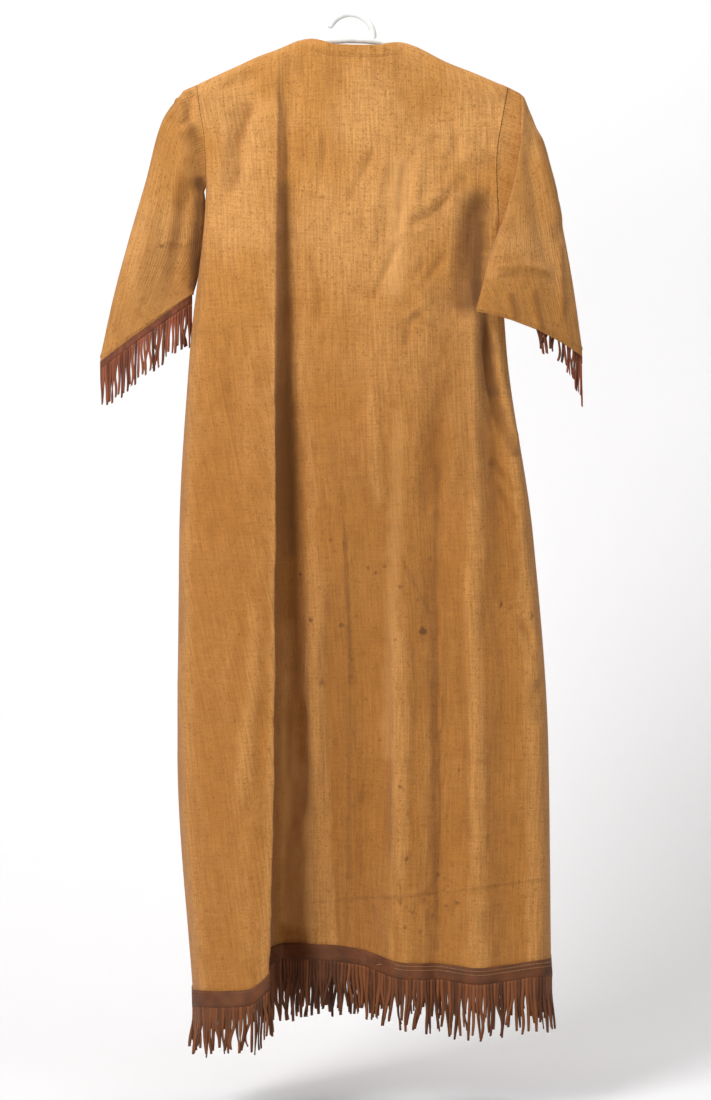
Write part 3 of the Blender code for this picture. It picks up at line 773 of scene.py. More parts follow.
@dataclass
class BodyPanel(ClothPiece):
    """The back or the front of the dress."""

    folds: Sequence[FoldLine] = ()
    side: Side = Side.BACK
    neck_hem: float = 13.0
    under_band: float = 13.0
    place_level: float = 4.5

    def __post_init__(self) -> None:
        """Prepares the fold lines and the creases."""
        self.field = CreaseField(self.creases)
        self.outward = -1 if self.side is Side.FRONT else 1
        self.lines = []
        for fold in self.folds:
            under = underarm_z(fold.x[3])
            if fold is LEFT_SEAM:
                under = UNDERARM_LEFT_Z
            if fold is RIGHT_SEAM:
                under = UNDERARM_RIGHT_Z
            armhole = (SHOULDER_Z + under) / 2
            heights = (fold.top, SHOULDER_Z, armhole, under, WAIST_Z, HIP_Z, KNEE_Z, fold.hem)
            drops = [-z for z in heights]
            self.lines.append((heights, SmoothCurve(drops, fold.x), SmoothCurve(drops, fold.y)))
        self.places = self.knots_at(self.place_level)[1]

    def line_point(self, number: int, level: float) -> Vector:
        """A point of a fold line.

        Args:
            number: Which fold line.
            level: Sections down from the top edge, and millimetres more below the hem line.

        Returns:
            The point.
        """
        fold = self.folds[number]
        heights, x_at, y_at = self.lines[number]
        whole = int(level)
        if whole < len(heights) - 1:
            z = mix(heights[whole], heights[whole + 1], level - whole)
        else:
            z = heights[-1] - (level - len(heights) + 1)
        x, y = x_at(-z), y_at(-z)
        if number in (0, len(self.folds) - 1):
            share = min((fold.top - z) / (fold.top - heights[UNDERARM_LEVEL]), 1.0)
            y += self.side.value * SEAM_GAP / 2
            if share < 1:
                rounding = max(shoulder_rounding(x, z), SHOULDER_GAP / ARMHOLE_DEPTH)
                y = self.side.value * armhole_depth(share) / rounding
        return Vector((x, y, z))

    def knots_at(self, level: float) -> tuple[list[Vector], list[float]]:
        """Read every fold line at one level.

        Args:
            level: Sections down from the top edge.

        Returns:
            The fold lines' points, and their places from 0 to 1 along the row.
        """
        points = [self.line_point(number, level) for number in range(len(self.folds))]
        knots = [0.0]
        for a, b in zip(points, points[1:]):
            knots.append(knots[-1] + math.hypot(b.x - a.x, b.y - a.y))
        return points, [knot / knots[-1] for knot in knots]

    def row_reader(self, level: float) -> Callable[[float], Vector]:
        """Prepare one row of the wall.

        Args:
            level: Sections down from the top edge.

        Returns:
            A function from a column's place to its point.
        """
        points, knots = self.knots_at(level)
        curves = []
        for axis in range(3):
            values = [point[axis] for point in points]
            curves.append(SmoothCurve(knots, values, axis == 0 and level >= UNDERARM_LEVEL))

        def read(place: float) -> Vector:
            """Read the row.

            Args:
                place: The column's place, from 0 to 1.

            Returns:
                The point.
            """
            along = piecewise(place, self.places, knots)
            return Vector(curve(along) for curve in curves)

        return read

    def folded_share(self, place: float) -> float:
        """How far a column's top is turned over the hanger, from 0 at the open neck to 1."""
        return piecewise(place, self.places, [fold.folded for fold in self.folds])

    def level_at(self, share: float) -> float:
        """The level of a row, with rows closest near the shoulder.

        Args:
            share: Share of the way down.

        Returns:
            Sections down from the top edge.
        """
        rows = (0, 20, 34, 46, 56, 98, 148, 206, 262, 266)
        levels = (0, 0.4, 1, 2, UNDERARM_LEVEL, 4, 5, 6, HEM_LEVEL, HEM_LEVEL + self.under_band)
        return piecewise(share * rows[-1], rows, levels)

    def surface(self) -> list[list[Vector]]:
        """The smooth wall.

        Returns:
            Rows of points, from the left seam to the right one.
        """
        top = self.row_reader(0)
        places = [column / self.columns for column in range(self.columns + 1)]
        result = []
        for row in range(self.rows + 1):
            level = self.level_at(row / self.rows)
            read = self.row_reader(level)
            line = []
            for place in places:
                point = read(place)
                if level < 1:
                    above = top(place)
                    lift = shoulder_z(above.x) - above.z
                    point.z += lift * (1 - level) * self.folded_share(place)
                rounding = shoulder_rounding(point.x, point.z)
                point.y = mix(self.side.value * SHOULDER_GAP, point.y, rounding)
                line.append(point)
            result.append(line)
        return result

    def relief(self, point: Vector, column: float, row: float) -> float:
        """Creases, crumpling and the turned neck band.

        Args:
            point: The place on the smooth wall.
            column: Share of the way across.
            row: Share of the way down; not used here.

        Returns:
            The distance outwards.
        """
        below = shoulder_z(point.x) - point.z
        edge = min(column, 1 - column) * self.columns
        settled = smoothstep(6, 60, below) * smoothstep(0, 6, edge)
        lift = self.field.height(point.x, point.z) * smoothstep(0, 4, edge)
        lift += crumple(point.x, point.z, self.seed, 3.0) * settled
        top = self.base[0][round(column * self.columns)]
        depth = top.z - point.z
        neck = 1 - self.folded_share(column)
        if neck > 0.02 and depth < 40:
            lift += neck * self.neck_relief(point.x, depth)
        return lift

    def neck_relief(self, x: float, depth: float) -> float:
        """The turned and stitched neck band with its puckers.

        Args:
            x: Across the dress.
            depth: The distance below the neck edge.

        Returns:
            How far the cloth stands out.
        """
        band = 0.9 * (1 - smoothstep(self.neck_hem - 1, self.neck_hem + 1, depth))
        groove = -0.9 * math.exp(-(((depth - self.neck_hem) / 1.8) ** 2))
        waves = noise.noise(Vector((x / 7, 3.0, self.seed)))
        return band + groove + 1.3 * waves * math.exp(-(((depth - self.neck_hem) / 9) ** 2))


@dataclass
class Sleeve(ClothPiece):
    """A short wide sleeve: a tube from the armhole to the cuff."""

    rings: Sequence[SleeveRing] = ()
    panels: tuple[BodyPanel, BodyPanel] | None = None
    sign: int = -1
    armhole_gap: float = 0.35
    hem_width: float = 9.0
    first_at: float = 0.05
    fold_at: float = 0.0
    far_shift: float = 500.0

    def __post_init__(self) -> None:
        """Prepares the ring columns and the creases."""
        self.field = CreaseField(self.creases)
        self.closed = True
        self.outward = self.sign
        ats = [ring.at for ring in self.rings]
        names = ("ox", "oz", "oy", "ix", "iz", "iy", "near", "far", "near_bow", "far_bow")
        self.curves = {name: SmoothCurve(ats, [getattr(ring, name) for ring in self.rings]) for name in names}

    def at(self, along: float, share: float, side: Side) -> Vector:
        """A point of the tube.

        Args:
            along: The place along the sleeve.
            share: The share of the way from the ring's outer point to its inner one.
            side: The near or the far wall.

        Returns:
            The point.
        """
        here = {name: curve(along) for name, curve in self.curves.items()}
        outer = Vector((here["ox"], here["oy"], here["oz"]))
        inner = Vector((here["ix"], here["iy"], here["iz"]))
        run = inner - outer
        to_shoulder = Vector((run.z, 0, -run.x)).normalized()
        if to_shoulder.dot(Vector((0, 0, SHOULDER_Z)) - outer) < 0:
            to_shoulder = -to_shoulder
        bulge = max(4 * share * (1 - share), 0.0)
        near = side is Side.BACK
        depth = here["near"] if near else here["far"]
        bow = here["near_bow"] if near else here["far_bow"]
        point = outer + run * share + to_shoulder * bow * bulge
        if near and self.fold_at:
            over = smoothstep(self.fold_at - 0.006, self.fold_at + 0.006, along)
            low, high = self.rings[0].near, self.rings[1].near
            depth = mix(low, max(depth, high), over) if along < self.rings[1].at else depth
        point.y += side.value * depth * bulge**mix(ARMHOLE_SQUARE, 0.5, smoothstep(0.1, 0.6, along))
        return point

    def armhole(self, share: float, side: Side) -> Vector:
        """A point of the armhole edge, beside the panel that it is sewn to.

        Args:
            share: Share of the way down from the shoulder to the underarm.
            side: The near or the far wall.

        Returns:
            The point.
        """
        panel = self.panels[0 if side is Side.BACK else 1]
        number = 0 if self.sign < 0 else len(panel.folds) - 1
        point = panel.line_point(number, share * UNDERARM_LEVEL)
        point.y *= shoulder_rounding(point.x, point.z)
        return point + Vector((self.sign * self.armhole_gap, 0, 0))

    def along_at(self, share: float) -> float:
        """The place along the sleeve of a row, with rows closest at the armhole and the cuff."""
        return piecewise(share, (0.0, 0.28, 0.80, 1.0), (0.0, 0.12, 0.92, 1.0))

    def surface(self) -> list[list[Vector]]:
        """The smooth tube.

        Returns:
            Rings of points from the armhole to the cuff, round from the outer edge.
        """
        result = []
        half = self.columns // 2
        for row in range(self.rows + 1):
            along = self.along_at(row / self.rows)
            line = []
            for column in range(self.columns + 1):
                near = column <= half
                share = column / half if near else 2 - column / half
                side = Side.BACK if near else Side.FRONT
                share = 0.5 - 0.5 * math.cos(math.pi * share)
                if along < self.first_at:
                    ease = smoothstep(0, 1, along / self.first_at)
                    point = self.armhole(share, side).lerp(self.at(self.first_at, share, side), ease)
                else:
                    point = self.at(along, share, side)
                line.append(point)
            result.append(line)
        return result

    def relief(self, point: Vector, column: float, row: float) -> float:
        """Creases on the near wall, crumpling all round, and the turned cuff hem.

        Args:
            point: The place on the smooth tube.
            column: Share of the way round.
            row: Share of the way down.

        Returns:
            The distance outwards.
        """
        near = column < 0.5
        share = min(column, 1 - column) * 2
        away = smoothstep(0, 0.08, share) * smoothstep(0, 0.08, 1 - share)
        across = point.x + (0 if near else self.far_shift)
        lift = crumple(across, point.z, self.seed, 1.5) * away * smoothstep(0.03, 0.15, row)
        if near:
            lift += self.field.height(point.x, point.z) * away
        to_edge = (1 - row) * self.length()
        lift += 0.9 * (1 - smoothstep(self.hem_width - 1, self.hem_width + 1, to_edge))
        waves = noise.noise(Vector((share * 26, 0 if near else 9, self.seed)))
        lift += (1.2 * waves - 0.7) * math.exp(-(((to_edge - self.hem_width) / 4) ** 2))
        return lift

    def length(self) -> float:
        """The sleeve's length down its middle.

        Returns:
            The length.
        """
        top, cuff = self.at(self.first_at, 0.5, Side.BACK), self.at(1.0, 0.5, Side.BACK)
        return (cuff - top).length


class Nodes:
    """A short way to write a node tree."""

    def __init__(self, tree: bpy.types.NodeTree) -> None:
        """Keep the tree.

        Args:
            tree: The tree to add to.
        """
        self.tree = tree

    def add(self, kind: str, settings: dict | None = None, **inputs: object) -> bpy.types.Node:
        """Add a node.

        Args:
            kind: The node's type.
            settings: Properties to set on it.
            **inputs: Values or sockets, by the input's name with _ for spaces, or i0, i1 by number.

        Returns:
            The node.
        """
        node = self.tree.nodes.new(kind)
        for key, value in (settings or {}).items():
            setattr(node, key, value)
        for key, value in inputs.items():
            numbered = key[0] == "i" and key[1:].isdigit()
            socket = node.inputs[int(key[1:])] if numbered else node.inputs[key.replace("_", " ")]
            if isinstance(value, bpy.types.NodeSocket):
                self.tree.links.new(value, socket)
            else:
                socket.default_value = value
        return node

    def join(self, source: bpy.types.NodeSocket, target: bpy.types.NodeSocket) -> None:
        """Links one socket to another."""
        self.tree.links.new(source, target)

    def math(self, operation: str, *values: object) -> bpy.types.NodeSocket:
        """Do sums.

        Args:
            operation: What to do.
            *values: Numbers or sockets.

        Returns:
            The result's socket.
        """
        inputs = {f"i{number}": value for number, value in enumerate(values)}
        return self.add("ShaderNodeMath", {"operation": operation}, **inputs).outputs[0]

    def vector(self, operation: str, a: object, b: object) -> bpy.types.NodeSocket:
        """Do vector sums.

        Args:
            operation: What to do.
            a: The first vector.
            b: The second, or the number to scale the first by.

        Returns:
            The result's socket.
        """
        second = "Scale" if operation == "SCALE" else "i1"
        node = self.add("ShaderNodeVectorMath", {"operation": operation}, i0=a, **{second: b})
        return node.outputs["Value" if operation in ("DISTANCE", "DOT_PRODUCT") else "Vector"]

    def noise(self, place: object, scale: float, detail: float) -> bpy.types.NodeSocket:
        """Read a noise texture.

        Args:
            place: The coordinates.
            scale: How fine it is.
            detail: How many finer layers it has.

        Returns:
            The socket of its value from 0 to 1.
        """
        return self.add("ShaderNodeTexNoise", Vector=place, Scale=scale, Detail=detail).outputs["Fac"]

    def blend(self, factor: object, a: object, b: object) -> bpy.types.NodeSocket:
        """Mix two colours.

        Args:
            factor: How much of b.
            a: The first colour.
            b: The second.

        Returns:
            The mixed colour's socket.
        """
        return self.add("ShaderNodeMix", {"data_type": "RGBA"}, i0=factor, i6=a, i7=b).outputs[2]

    def flat(self, place: object) -> bpy.types.NodeSocket:
        """Flatten a place onto the plane y = 0.

        Args:
            place: The coordinates.

        Returns:
            The socket of the flat coordinates.
        """
        parts = self.add("ShaderNodeSeparateXYZ", i0=place)
        return self.add("ShaderNodeCombineXYZ", i0=parts.outputs[0], i2=parts.outputs[2]).outputs[0]

    def ramp(
        self, value: object, low: float, high: float, start: float = 0.0, end: float = 1.0
    ) -> bpy.types.NodeSocket:
        """Map a range smoothly.

        Args:
            value: The socket to read.
            low: Where the result is start.
            high: Where the result is end.
            start: The result at low.
            end: The result at high.

        Returns:
            The result's socket.
        """
        settings = {"interpolation_type": "SMOOTHSTEP"}
        node = self.add("ShaderNodeMapRange", settings, i0=value, i1=low, i2=high, i3=start, i4=end)
        return node.outputs[0]


def new_group(name: str, inputs: Sequence[tuple], outputs: Sequence[tuple]) -> tuple:
    """Start a shader node group.

    Args:
        name: The group's name.
        inputs: Names, socket types and defaults.
        outputs: Names and socket types.

    Returns:
        The tree, a node writer, its input node and its output node.
    """
    tree = bpy.data.node_groups.new(name, "ShaderNodeTree")
    for label, kind, default in inputs:
        socket = tree.interface.new_socket(name=label, in_out="INPUT", socket_type=kind)
        if default is not None:
            socket.default_value = default
    for label, kind in outputs:
        tree.interface.new_socket(name=label, in_out="OUTPUT", socket_type=kind)
    write = Nodes(tree)
    return tree, write, write.add("NodeGroupInput"), write.add("NodeGroupOutput")


def new_material(name: str) -> tuple:
    """Start a material.

    Args:
        name: Its name.

    Returns:
        The material, a node writer and its shader.
    """
    made = bpy.data.materials.new(name)
    made.use_nodes = True
    return made, Nodes(made.node_tree), made.node_tree.nodes["Principled BSDF"]


@dataclass(frozen=True)
class WeaveGroup:
    """A coarse plain weave with uneven threads, ribs and slubs."""

    thread: float = 0.0011
    rib: float = 0.0031
    waver: float = 0.0014

    def build(self) -> bpy.types.NodeTree:
        """Make the node group.

        Returns:
            The node group.
        """
        tree, write, given, result = new_group(
            "canvas weave",
            [("Cloth", "NodeSocketVector", None), ("Ribs", "NodeSocketFloat", 0.0)],
            [("Height", "NodeSocketFloat"), ("Tone", "NodeSocketFloat")],
        )
        cloth = given.outputs["Cloth"]
        wobble = write.add("ShaderNodeTexNoise", Vector=cloth, Scale=90.0, Detail=2.0)
        shift = write.vector("SUBTRACT", wobble.outputs["Color"], (0.5, 0.5, 0.5))
        bent = write.vector("ADD", cloth, write.vector("SCALE", shift, self.waver))
        warp, weft, ribs = (
            write.add("ShaderNodeTexWave", {"bands_direction": way}, Vector=bent, Scale=WAVE_TURN / pitch)
            for way, pitch in (("X", self.thread), ("Y", self.thread), ("X", self.rib))
        )
        long_way = write.add("ShaderNodeMapping", Vector=cloth, Scale=(1.0, 0.055, 1.0))
        warp_slubs = write.noise(long_way.outputs[0], 380.0, 3.0)
        cross_way = write.add("ShaderNodeMapping", Vector=cloth, Scale=(0.08, 1.0, 1.0))
        weft_slubs = write.noise(cross_way.outputs[0], 430.0, 3.0)
        grain = write.noise(cloth, 620.0, 2.0)
        strength = given.outputs["Ribs"]
        threads = write.math("MULTIPLY", warp.outputs["Fac"], weft.outputs["Fac"])
        slubs = write.math("MULTIPLY_ADD", weft_slubs, 0.55, warp_slubs)
        slubs = write.math("MULTIPLY_ADD", grain, 0.9, slubs)
        ribbed = write.math("MULTIPLY", ribs.outputs["Fac"], strength)
        height = write.math("MULTIPLY_ADD", threads, 0.3, write.math("MULTIPLY", ribbed, 0.6))
        height = write.math("MULTIPLY_ADD", slubs, 0.9, height)
        shade = write.math("MULTIPLY_ADD", ribbed, -0.16, write.math("MULTIPLY", strength, 0.08))
        tone = write.math("ADD", write.ramp(slubs, 0.95, 1.50), shade)
        tree.links.new(height, result.inputs["Height"])
        tree.links.new(tone, result.inputs["Tone"])
        return tree


@dataclass(frozen=True)
class SpotGroup:
    """Round stains at given places on the near wall."""

    spots: Sequence[Spot]

    def build(self) -> bpy.types.NodeTree:
        """Make the node group.

        Returns:
            The node group.
        """
        tree, write, given, result = new_group(
            "spots", [("Place", "NodeSocketVector", None)], [("Mask", "NodeSocketFloat")]
        )
        ragged = write.noise(given.outputs["Place"], 260.0, 3.0)
        flat = write.flat(given.outputs["Place"])
        rough = write.math("MULTIPLY_ADD", ragged, 0.006, -0.003)
        total = 0.0
        for spot in self.spots:
            middle = (spot.x * MM, 0.0, spot.z * MM)
            gap = write.math("ADD", write.vector("DISTANCE", flat, middle), rough)
            reach = spot.radius * MM
            mask = write.ramp(gap, reach * 0.5, reach * 1.25, spot.strength, 0.0)
            total = write.math("MAXIMUM", mask, total)
        tree.links.new(total, result.inputs["Mask"])
        return tree


@dataclass(frozen=True)
class StreakGroup:
    """One soft streak between two points, with its reach and strength as inputs."""

    def build(self) -> bpy.types.NodeTree:
        """Make the node group.

        Returns:
            The node group.
        """
        tree, write, given, result = new_group(
            "streak",
            [("Place", "NodeSocketVector", None), ("Start", "NodeSocketVector", None),
             ("Run", "NodeSocketVector", None), ("Reach", "NodeSocketFloat", 0.01),
             ("Strength", "NodeSocketFloat", 0.5)],
            [("Mask", "NodeSocketFloat")],
        )
        flat = write.flat(given.outputs["Place"])
        run = given.outputs["Run"]
        away = write.vector("SUBTRACT", flat, given.outputs["Start"])
        along = write.vector("DOT_PRODUCT", away, run)
        share = write.math("DIVIDE", along, write.vector("DOT_PRODUCT", run, run))
        share = write.math("MINIMUM", write.math("MAXIMUM", share, 0.0), 1.0)
        gap = write.vector("DISTANCE", away, write.vector("SCALE", run, share))
        ragged = write.noise(given.outputs["Place"], 60.0, 3.0)
        rough = write.math("MULTIPLY_ADD", ragged, 0.010, -0.005)
        near = write.math("DIVIDE", write.math("ADD", gap, rough), given.outputs["Reach"])
        mask = write.math("MULTIPLY", write.ramp(near, 0.0, 1.0, 1.0, 0.0), given.outputs["Strength"])
        tree.links.new(mask, result.inputs["Mask"])
        return tree


@dataclass(frozen=True)
class CanvasFinish:
    """Coarse tan cotton canvas with wear, stains and uneven tone, and with painted shade and painted light:
    darker towards the bottom and in the valleys, lighter on the ridges, and streaks that are mostly painted
    shadow, shade and light.
    """

    name: str
    spots: Sequence[Spot] = ()
    streaks: Sequence[Streak] = ()
    lighter_streaks: Sequence[Streak] = ()
    ribs: float = 0.25
    light: tuple = (0.610, 0.305, 0.094, 1)
    middle: tuple = (0.510, 0.232, 0.054, 1)
    # The next colour is painted shade, blended in by height so that the cloth gets darker towards the bottom,
    # where less light falls.
    worn_and_shaded: tuple = (0.370, 0.146, 0.026, 1)
    dark: tuple = (0.210, 0.074, 0.010, 1)
    # The next colour serves the real stains and the dark streaks, most of which are painted shade and painted
    # shadow.
    stain_and_painted_shade: tuple = (0.120, 0.048, 0.014, 1)
    # The next colour lightens the cloth along the lighter streaks, most of which are painted light.
    lighter_tone: tuple = (0.700, 0.370, 0.128, 1)

    def build(self, weave: bpy.types.NodeTree, streak_group: bpy.types.NodeTree) -> bpy.types.Material:
        """Make the material.

        Args:
            weave: The shared weave group.
            streak_group: The shared streak group.

        Returns:
            The material.
        """
        made, write, shader = new_material(self.name)
        coordinates = write.add("ShaderNodeTexCoord").outputs
        place = coordinates["Object"]
        cloth = write.add("ShaderNodeGroup", {"node_tree": weave}, Cloth=coordinates["UV"], Ribs=self.ribs)
        broad = write.noise(place, 9.0, 5.0)
        patchy = write.noise(place, 48.0, 5.0)
        speckle = write.noise(place, 300.0, 2.0)
        height = write.add("ShaderNodeSeparateXYZ", i0=place).outputs[2]
        hollow = write.add("ShaderNodeAttribute", {"attribute_name": "hollow"}).outputs["Fac"]
        color = write.blend(write.ramp(broad, 0.38, 0.62), self.light, self.middle)
        # Painted shade: the cloth gets darker towards the bottom, where less light reaches it.
        color = write.blend(write.ramp(height, -0.60, -0.16, 0.85, 0.0), color, self.worn_and_shaded)
        color = write.blend(write.ramp(patchy, 0.50, 0.72, 0.0, 0.20), color, self.dark)
        # Painted shade in the valleys of the cloth, from the hollow attribute, weaker near the hem.
        depth = write.math("MULTIPLY", write.ramp(hollow, 0.50, 0.90, 0.0, 1.0),
                           write.ramp(height, -0.80, -0.50, 0.12, 0.80))
        color = write.blend(depth, color, self.dark)
        # Painted highlight on the ridges of the cloth, from the hollow attribute.
        color = write.blend(write.ramp(hollow, 0.20, 0.48, 0.45, 0.0), color, self.light)
        color = write.blend(write.math("MULTIPLY", cloth.outputs["Tone"], 0.46), color, self.dark)
        flecks = write.ramp(speckle, 0.56, 0.72, 0.0, 0.50)
        color = write.blend(flecks, color, self.dark)
        # Streaks: the dark ones take the stain colour and are mostly painted shadow and painted shade; the
        # lighter ones are mostly painted light.
        marks = [(streak, self.stain_and_painted_shade) for streak in self.streaks]
        marks += [(streak, self.lighter_tone) for streak in self.lighter_streaks]
        for streak, tint in marks:
            start = Vector((streak.x, 0, streak.z)) * MM
            run = Vector((streak.end_x, 0, streak.end_z)) * MM - start
            mask = write.add("ShaderNodeGroup", {"node_tree": streak_group}, Place=place,
                             Start=start, Run=run, Reach=streak.radius * MM, Strength=streak.strength)
            color = write.blend(mask.outputs[0], color, tint)
        if self.spots:
            group = SpotGroup(self.spots).build()
            spots = write.add("ShaderNodeGroup", {"node_tree": group}, Place=place)
            color = write.blend(spots.outputs["Mask"], color, self.stain_and_painted_shade)
        bump = write.add("ShaderNodeBump", Strength=0.55, Distance=0.0009, Height=cloth.outputs["Height"])
        write.join(color, shader.inputs["Base Color"])
        write.join(bump.outputs["Normal"], shader.inputs["Normal"])
        shader.inputs["Roughness"].default_value = 0.92
        shader.inputs["Sheen Weight"].default_value = 0.08
        shader.inputs["Sheen Roughness"].default_value = 0.6
        shader.inputs["Specular IOR Level"].default_value = 0.2
        return made


@dataclass(frozen=True)
class LeatherFinish:
    """Dark reddish leather, a little different on each strand."""

    name: str
    light: tuple
    dark: tuple

    def build(self) -> bpy.types.Material:
        """Make the material.

        Returns:
            The material.
        """
        made, write, shader = new_material(self.name)
        place = write.add("ShaderNodeTexCoord").outputs["Object"]
        strand = write.add("ShaderNodeAttribute", {"attribute_name": "tone"})
        grain = write.noise(place, 240.0, 4.0)
        patches = write.noise(place, 40.0, 2.0)
        own = write.math("MULTIPLY", strand.outputs["Fac"], 0.7)
        share = write.math("MULTIPLY_ADD", grain, 0.5, own)
        share = write.math("MULTIPLY_ADD", patches, 0.5, share)
        color = write.blend(write.ramp(share, 0.4, 1.25), self.dark, self.light)
        bump = write.add("ShaderNodeBump", Strength=0.5, Distance=0.0005, Height=grain)
        write.join(color, shader.inputs["Base Color"])
        write.join(bump.outputs["Normal"], shader.inputs["Normal"])
        write.join(write.ramp(grain, 0.3, 0.7, 0.62, 0.85), shader.inputs["Roughness"])
        shader.inputs["Specular IOR Level"].default_value = 0.35
        return made


@dataclass(frozen=True)
class PlainFinish:
    """Thread or moulded plastic: one colour with a faint grain."""

    name: str
    color: tuple
    roughness: float
    grain_scale: float
    grain_depth: float

    def build(self) -> bpy.types.Material:
        """Make the material.

        Returns:
            The material.
        """
        made, write, shader = new_material(self.name)
        place = write.add("ShaderNodeTexCoord").outputs["Object"]
        grain = write.noise(place, self.grain_scale, 3.0)
        darker = tuple(value * 0.8 for value in self.color[:3]) + (1,)
        color = write.blend(write.ramp(grain, 0.3, 0.7), darker, self.color)
        bump = write.add("ShaderNodeBump", Strength=0.3, Distance=self.grain_depth, Height=grain)
        write.join(color, shader.inputs["Base Color"])
        write.join(bump.outputs["Normal"], shader.inputs["Normal"])
        shader.inputs["Roughness"].default_value = self.roughness
        return made


@dataclass
class Fringe:
    """A leather band with ribbon strands that hang from its lower edge."""

    name: str
    strands: int
    length: float
    seed: int
    edge: Callable[[float, float], tuple[Vector, Vector]]
    start: float = 0.0
    end: float = 1.0
    band_height: float = 19.0
    cells: int = 12
    spread: float = 1.0
    growth: float = 0.0

    def build(self, finish: bpy.types.Material) -> bpy.types.Object:
        """Make the band and its strands.

        Args:
            finish: The leather.

        Returns:
            The finished object.
        """
        chance = random.Random(self.seed)
        bm = bmesh.new()
        tone = bm.verts.layers.float.new("tone")
        self.add_band(bm, tone)
        places = self.even_places()
        drift = 0.0
        for left, right in zip(places, places[1:]):
            drift = mix(drift, chance.uniform(-1.0, 1.0), 0.4)
            self.add_strand(bm, tone, left, right, drift, chance)
        return finish_mesh(self.name, bm, finish, LEATHER_THICKNESS)

    def even_places(self) -> list[float]:
        """The edges of the strands along the band, an even distance apart.

        Returns:
            Their places along the edge.
        """
        samples = 500
        shares = [mix(self.start, self.end, index / samples) for index in range(samples + 1)]
        points = [self.edge(share, self.band_height)[0] for share in shares]
        lengths = [0.0]
        for a, b in zip(points, points[1:]):
            lengths.append(lengths[-1] + (b - a).length)
        result, index = [], 0
        for number in range(self.strands + 1):
            wanted = lengths[-1] * number / self.strands
            while index < samples - 1 and lengths[index + 1] < wanted:
                index += 1
            share = (wanted - lengths[index]) / (lengths[index + 1] - lengths[index])
            result.append(mix(shares[index], shares[index + 1], share))
        return result

    def add_band(self, bm: bmesh.types.BMesh, tone: bmesh.types.BMLayerItem) -> None:
        """Add the band.

        Args:
            bm: The mesh to add to.
            tone: The layer of each strand's own shade.
        """
        across, down = self.strands * 2, 5
        made = bmesh.ops.create_grid(bm, x_segments=across, y_segments=down, size=0.5)
        for vert in made["verts"]:
            share = mix(self.start, self.end, vert.co.x + 0.5)
            depth = (0.5 - vert.co.y) * self.band_height
            vert[tone] = 0.35 + 0.4 * noise.noise(Vector((share * 30, depth / 12, self.seed)))
            vert.co = self.edge(share, depth)[0]

    def add_strand(
        self,
        bm: bmesh.types.BMesh,
        tone: bmesh.types.BMLayerItem,
        left: float,
        right: float,
        drift: float,
        chance: random.Random,
    ) -> None:
        """Add one strand.

        Args:
            bm: The mesh to add to.
            tone: The layer of each strand's own shade.
            left: Its left edge along the band.
            right: Its right edge along the band.
            drift: How far its tip leans with its neighbours.
            chance: The source of its own differences.
        """
        a, outward = self.edge(left, self.band_height)
        b, _ = self.edge(right, self.band_height)
        middle, across = (a + b) / 2, (b - a)
        pitch = across.length
        across.normalize()
        length = (self.length + self.growth * left) * chance.triangular(0.78, 1.10, 1.0)
        width = pitch * chance.uniform(0.72, 0.94)
        lean = (drift * 5.0 + chance.gauss(0.0, 2.4)) * self.spread
        curl = chance.gauss(0.0, 2.0) * self.spread
        swing = chance.uniform(-3.0, 6.0) * self.spread
        twist = chance.gauss(0.0, 1.0)
        phase = chance.uniform(0.7, 2.1)
        shade = chance.random()
        made = bmesh.ops.create_grid(bm, x_segments=1, y_segments=self.cells, size=0.5)
        for vert in made["verts"]:
            t = 0.5 - vert.co.y
            free = smoothstep(0.22, 1.1, t)
            narrow = mix(pitch * 0.97, width, smoothstep(0.1, 0.6, t))
            narrow *= mix(1.0, 0.72, smoothstep(0.8, 1.0, t))
            angle = twist * free
            offset = vert.co.x * narrow
            side = across * (offset * math.cos(angle)) + outward * (offset * math.sin(angle))
            bend = lean * free + curl * math.sin(math.pi * phase * t) * smoothstep(0.1, 0.7, t)
            out = swing * free - 0.5 * smoothstep(0.0, 0.1, t)
            vert.co = middle + side + across * bend + outward * out + Vector((0, 0, -t * length + 0.4))
            vert[tone] = shade


def hem_edge(panel: BodyPanel, gap: float, flare: float) -> Callable[[float, float], tuple[Vector, Vector]]:
    """The line that a hem band follows on the outside of a panel.

    Args:
        panel: The panel.
        gap: The distance from the cloth's middle to the leather's.
        flare: How much further out the band's lower edge stands.

    Returns:
        A function from a place along the hem and a depth below the band's top to a point and the outward
        direction.
    """
    hem_row = panel.rows
    while panel.level_at(hem_row / panel.rows) > HEM_LEVEL:
        hem_row -= 1
    upper, lower = panel.shell[hem_row], panel.shell[-1]
    last = panel.columns

    def read(share: float, depth: float) -> tuple[Vector, Vector]:
        """Find a point of the band.

        Args:
            share: The place along the hem, from 0 to 1.
            depth: The distance below the band's top.

        Returns:
            The point and the outward direction.
        """
        place = min(max(share, 0.0), 1.0) * last
        index = min(int(place), last - 1)
        local = place - index
        a, b = upper[index], upper[index + 1]
        c, d = lower[index], lower[index + 1]
        top, base = a.lerp(b, local), c.lerp(d, local)
        down = (base - top).normalized()
        wide = upper[min(index + 4, last)] - upper[max(index - 3, 0)]
        outward = wide.cross(Vector((0, 0, 1))).normalized() * panel.outward
        return top + down * depth + outward * (gap + flare * depth / 20), outward

    return read


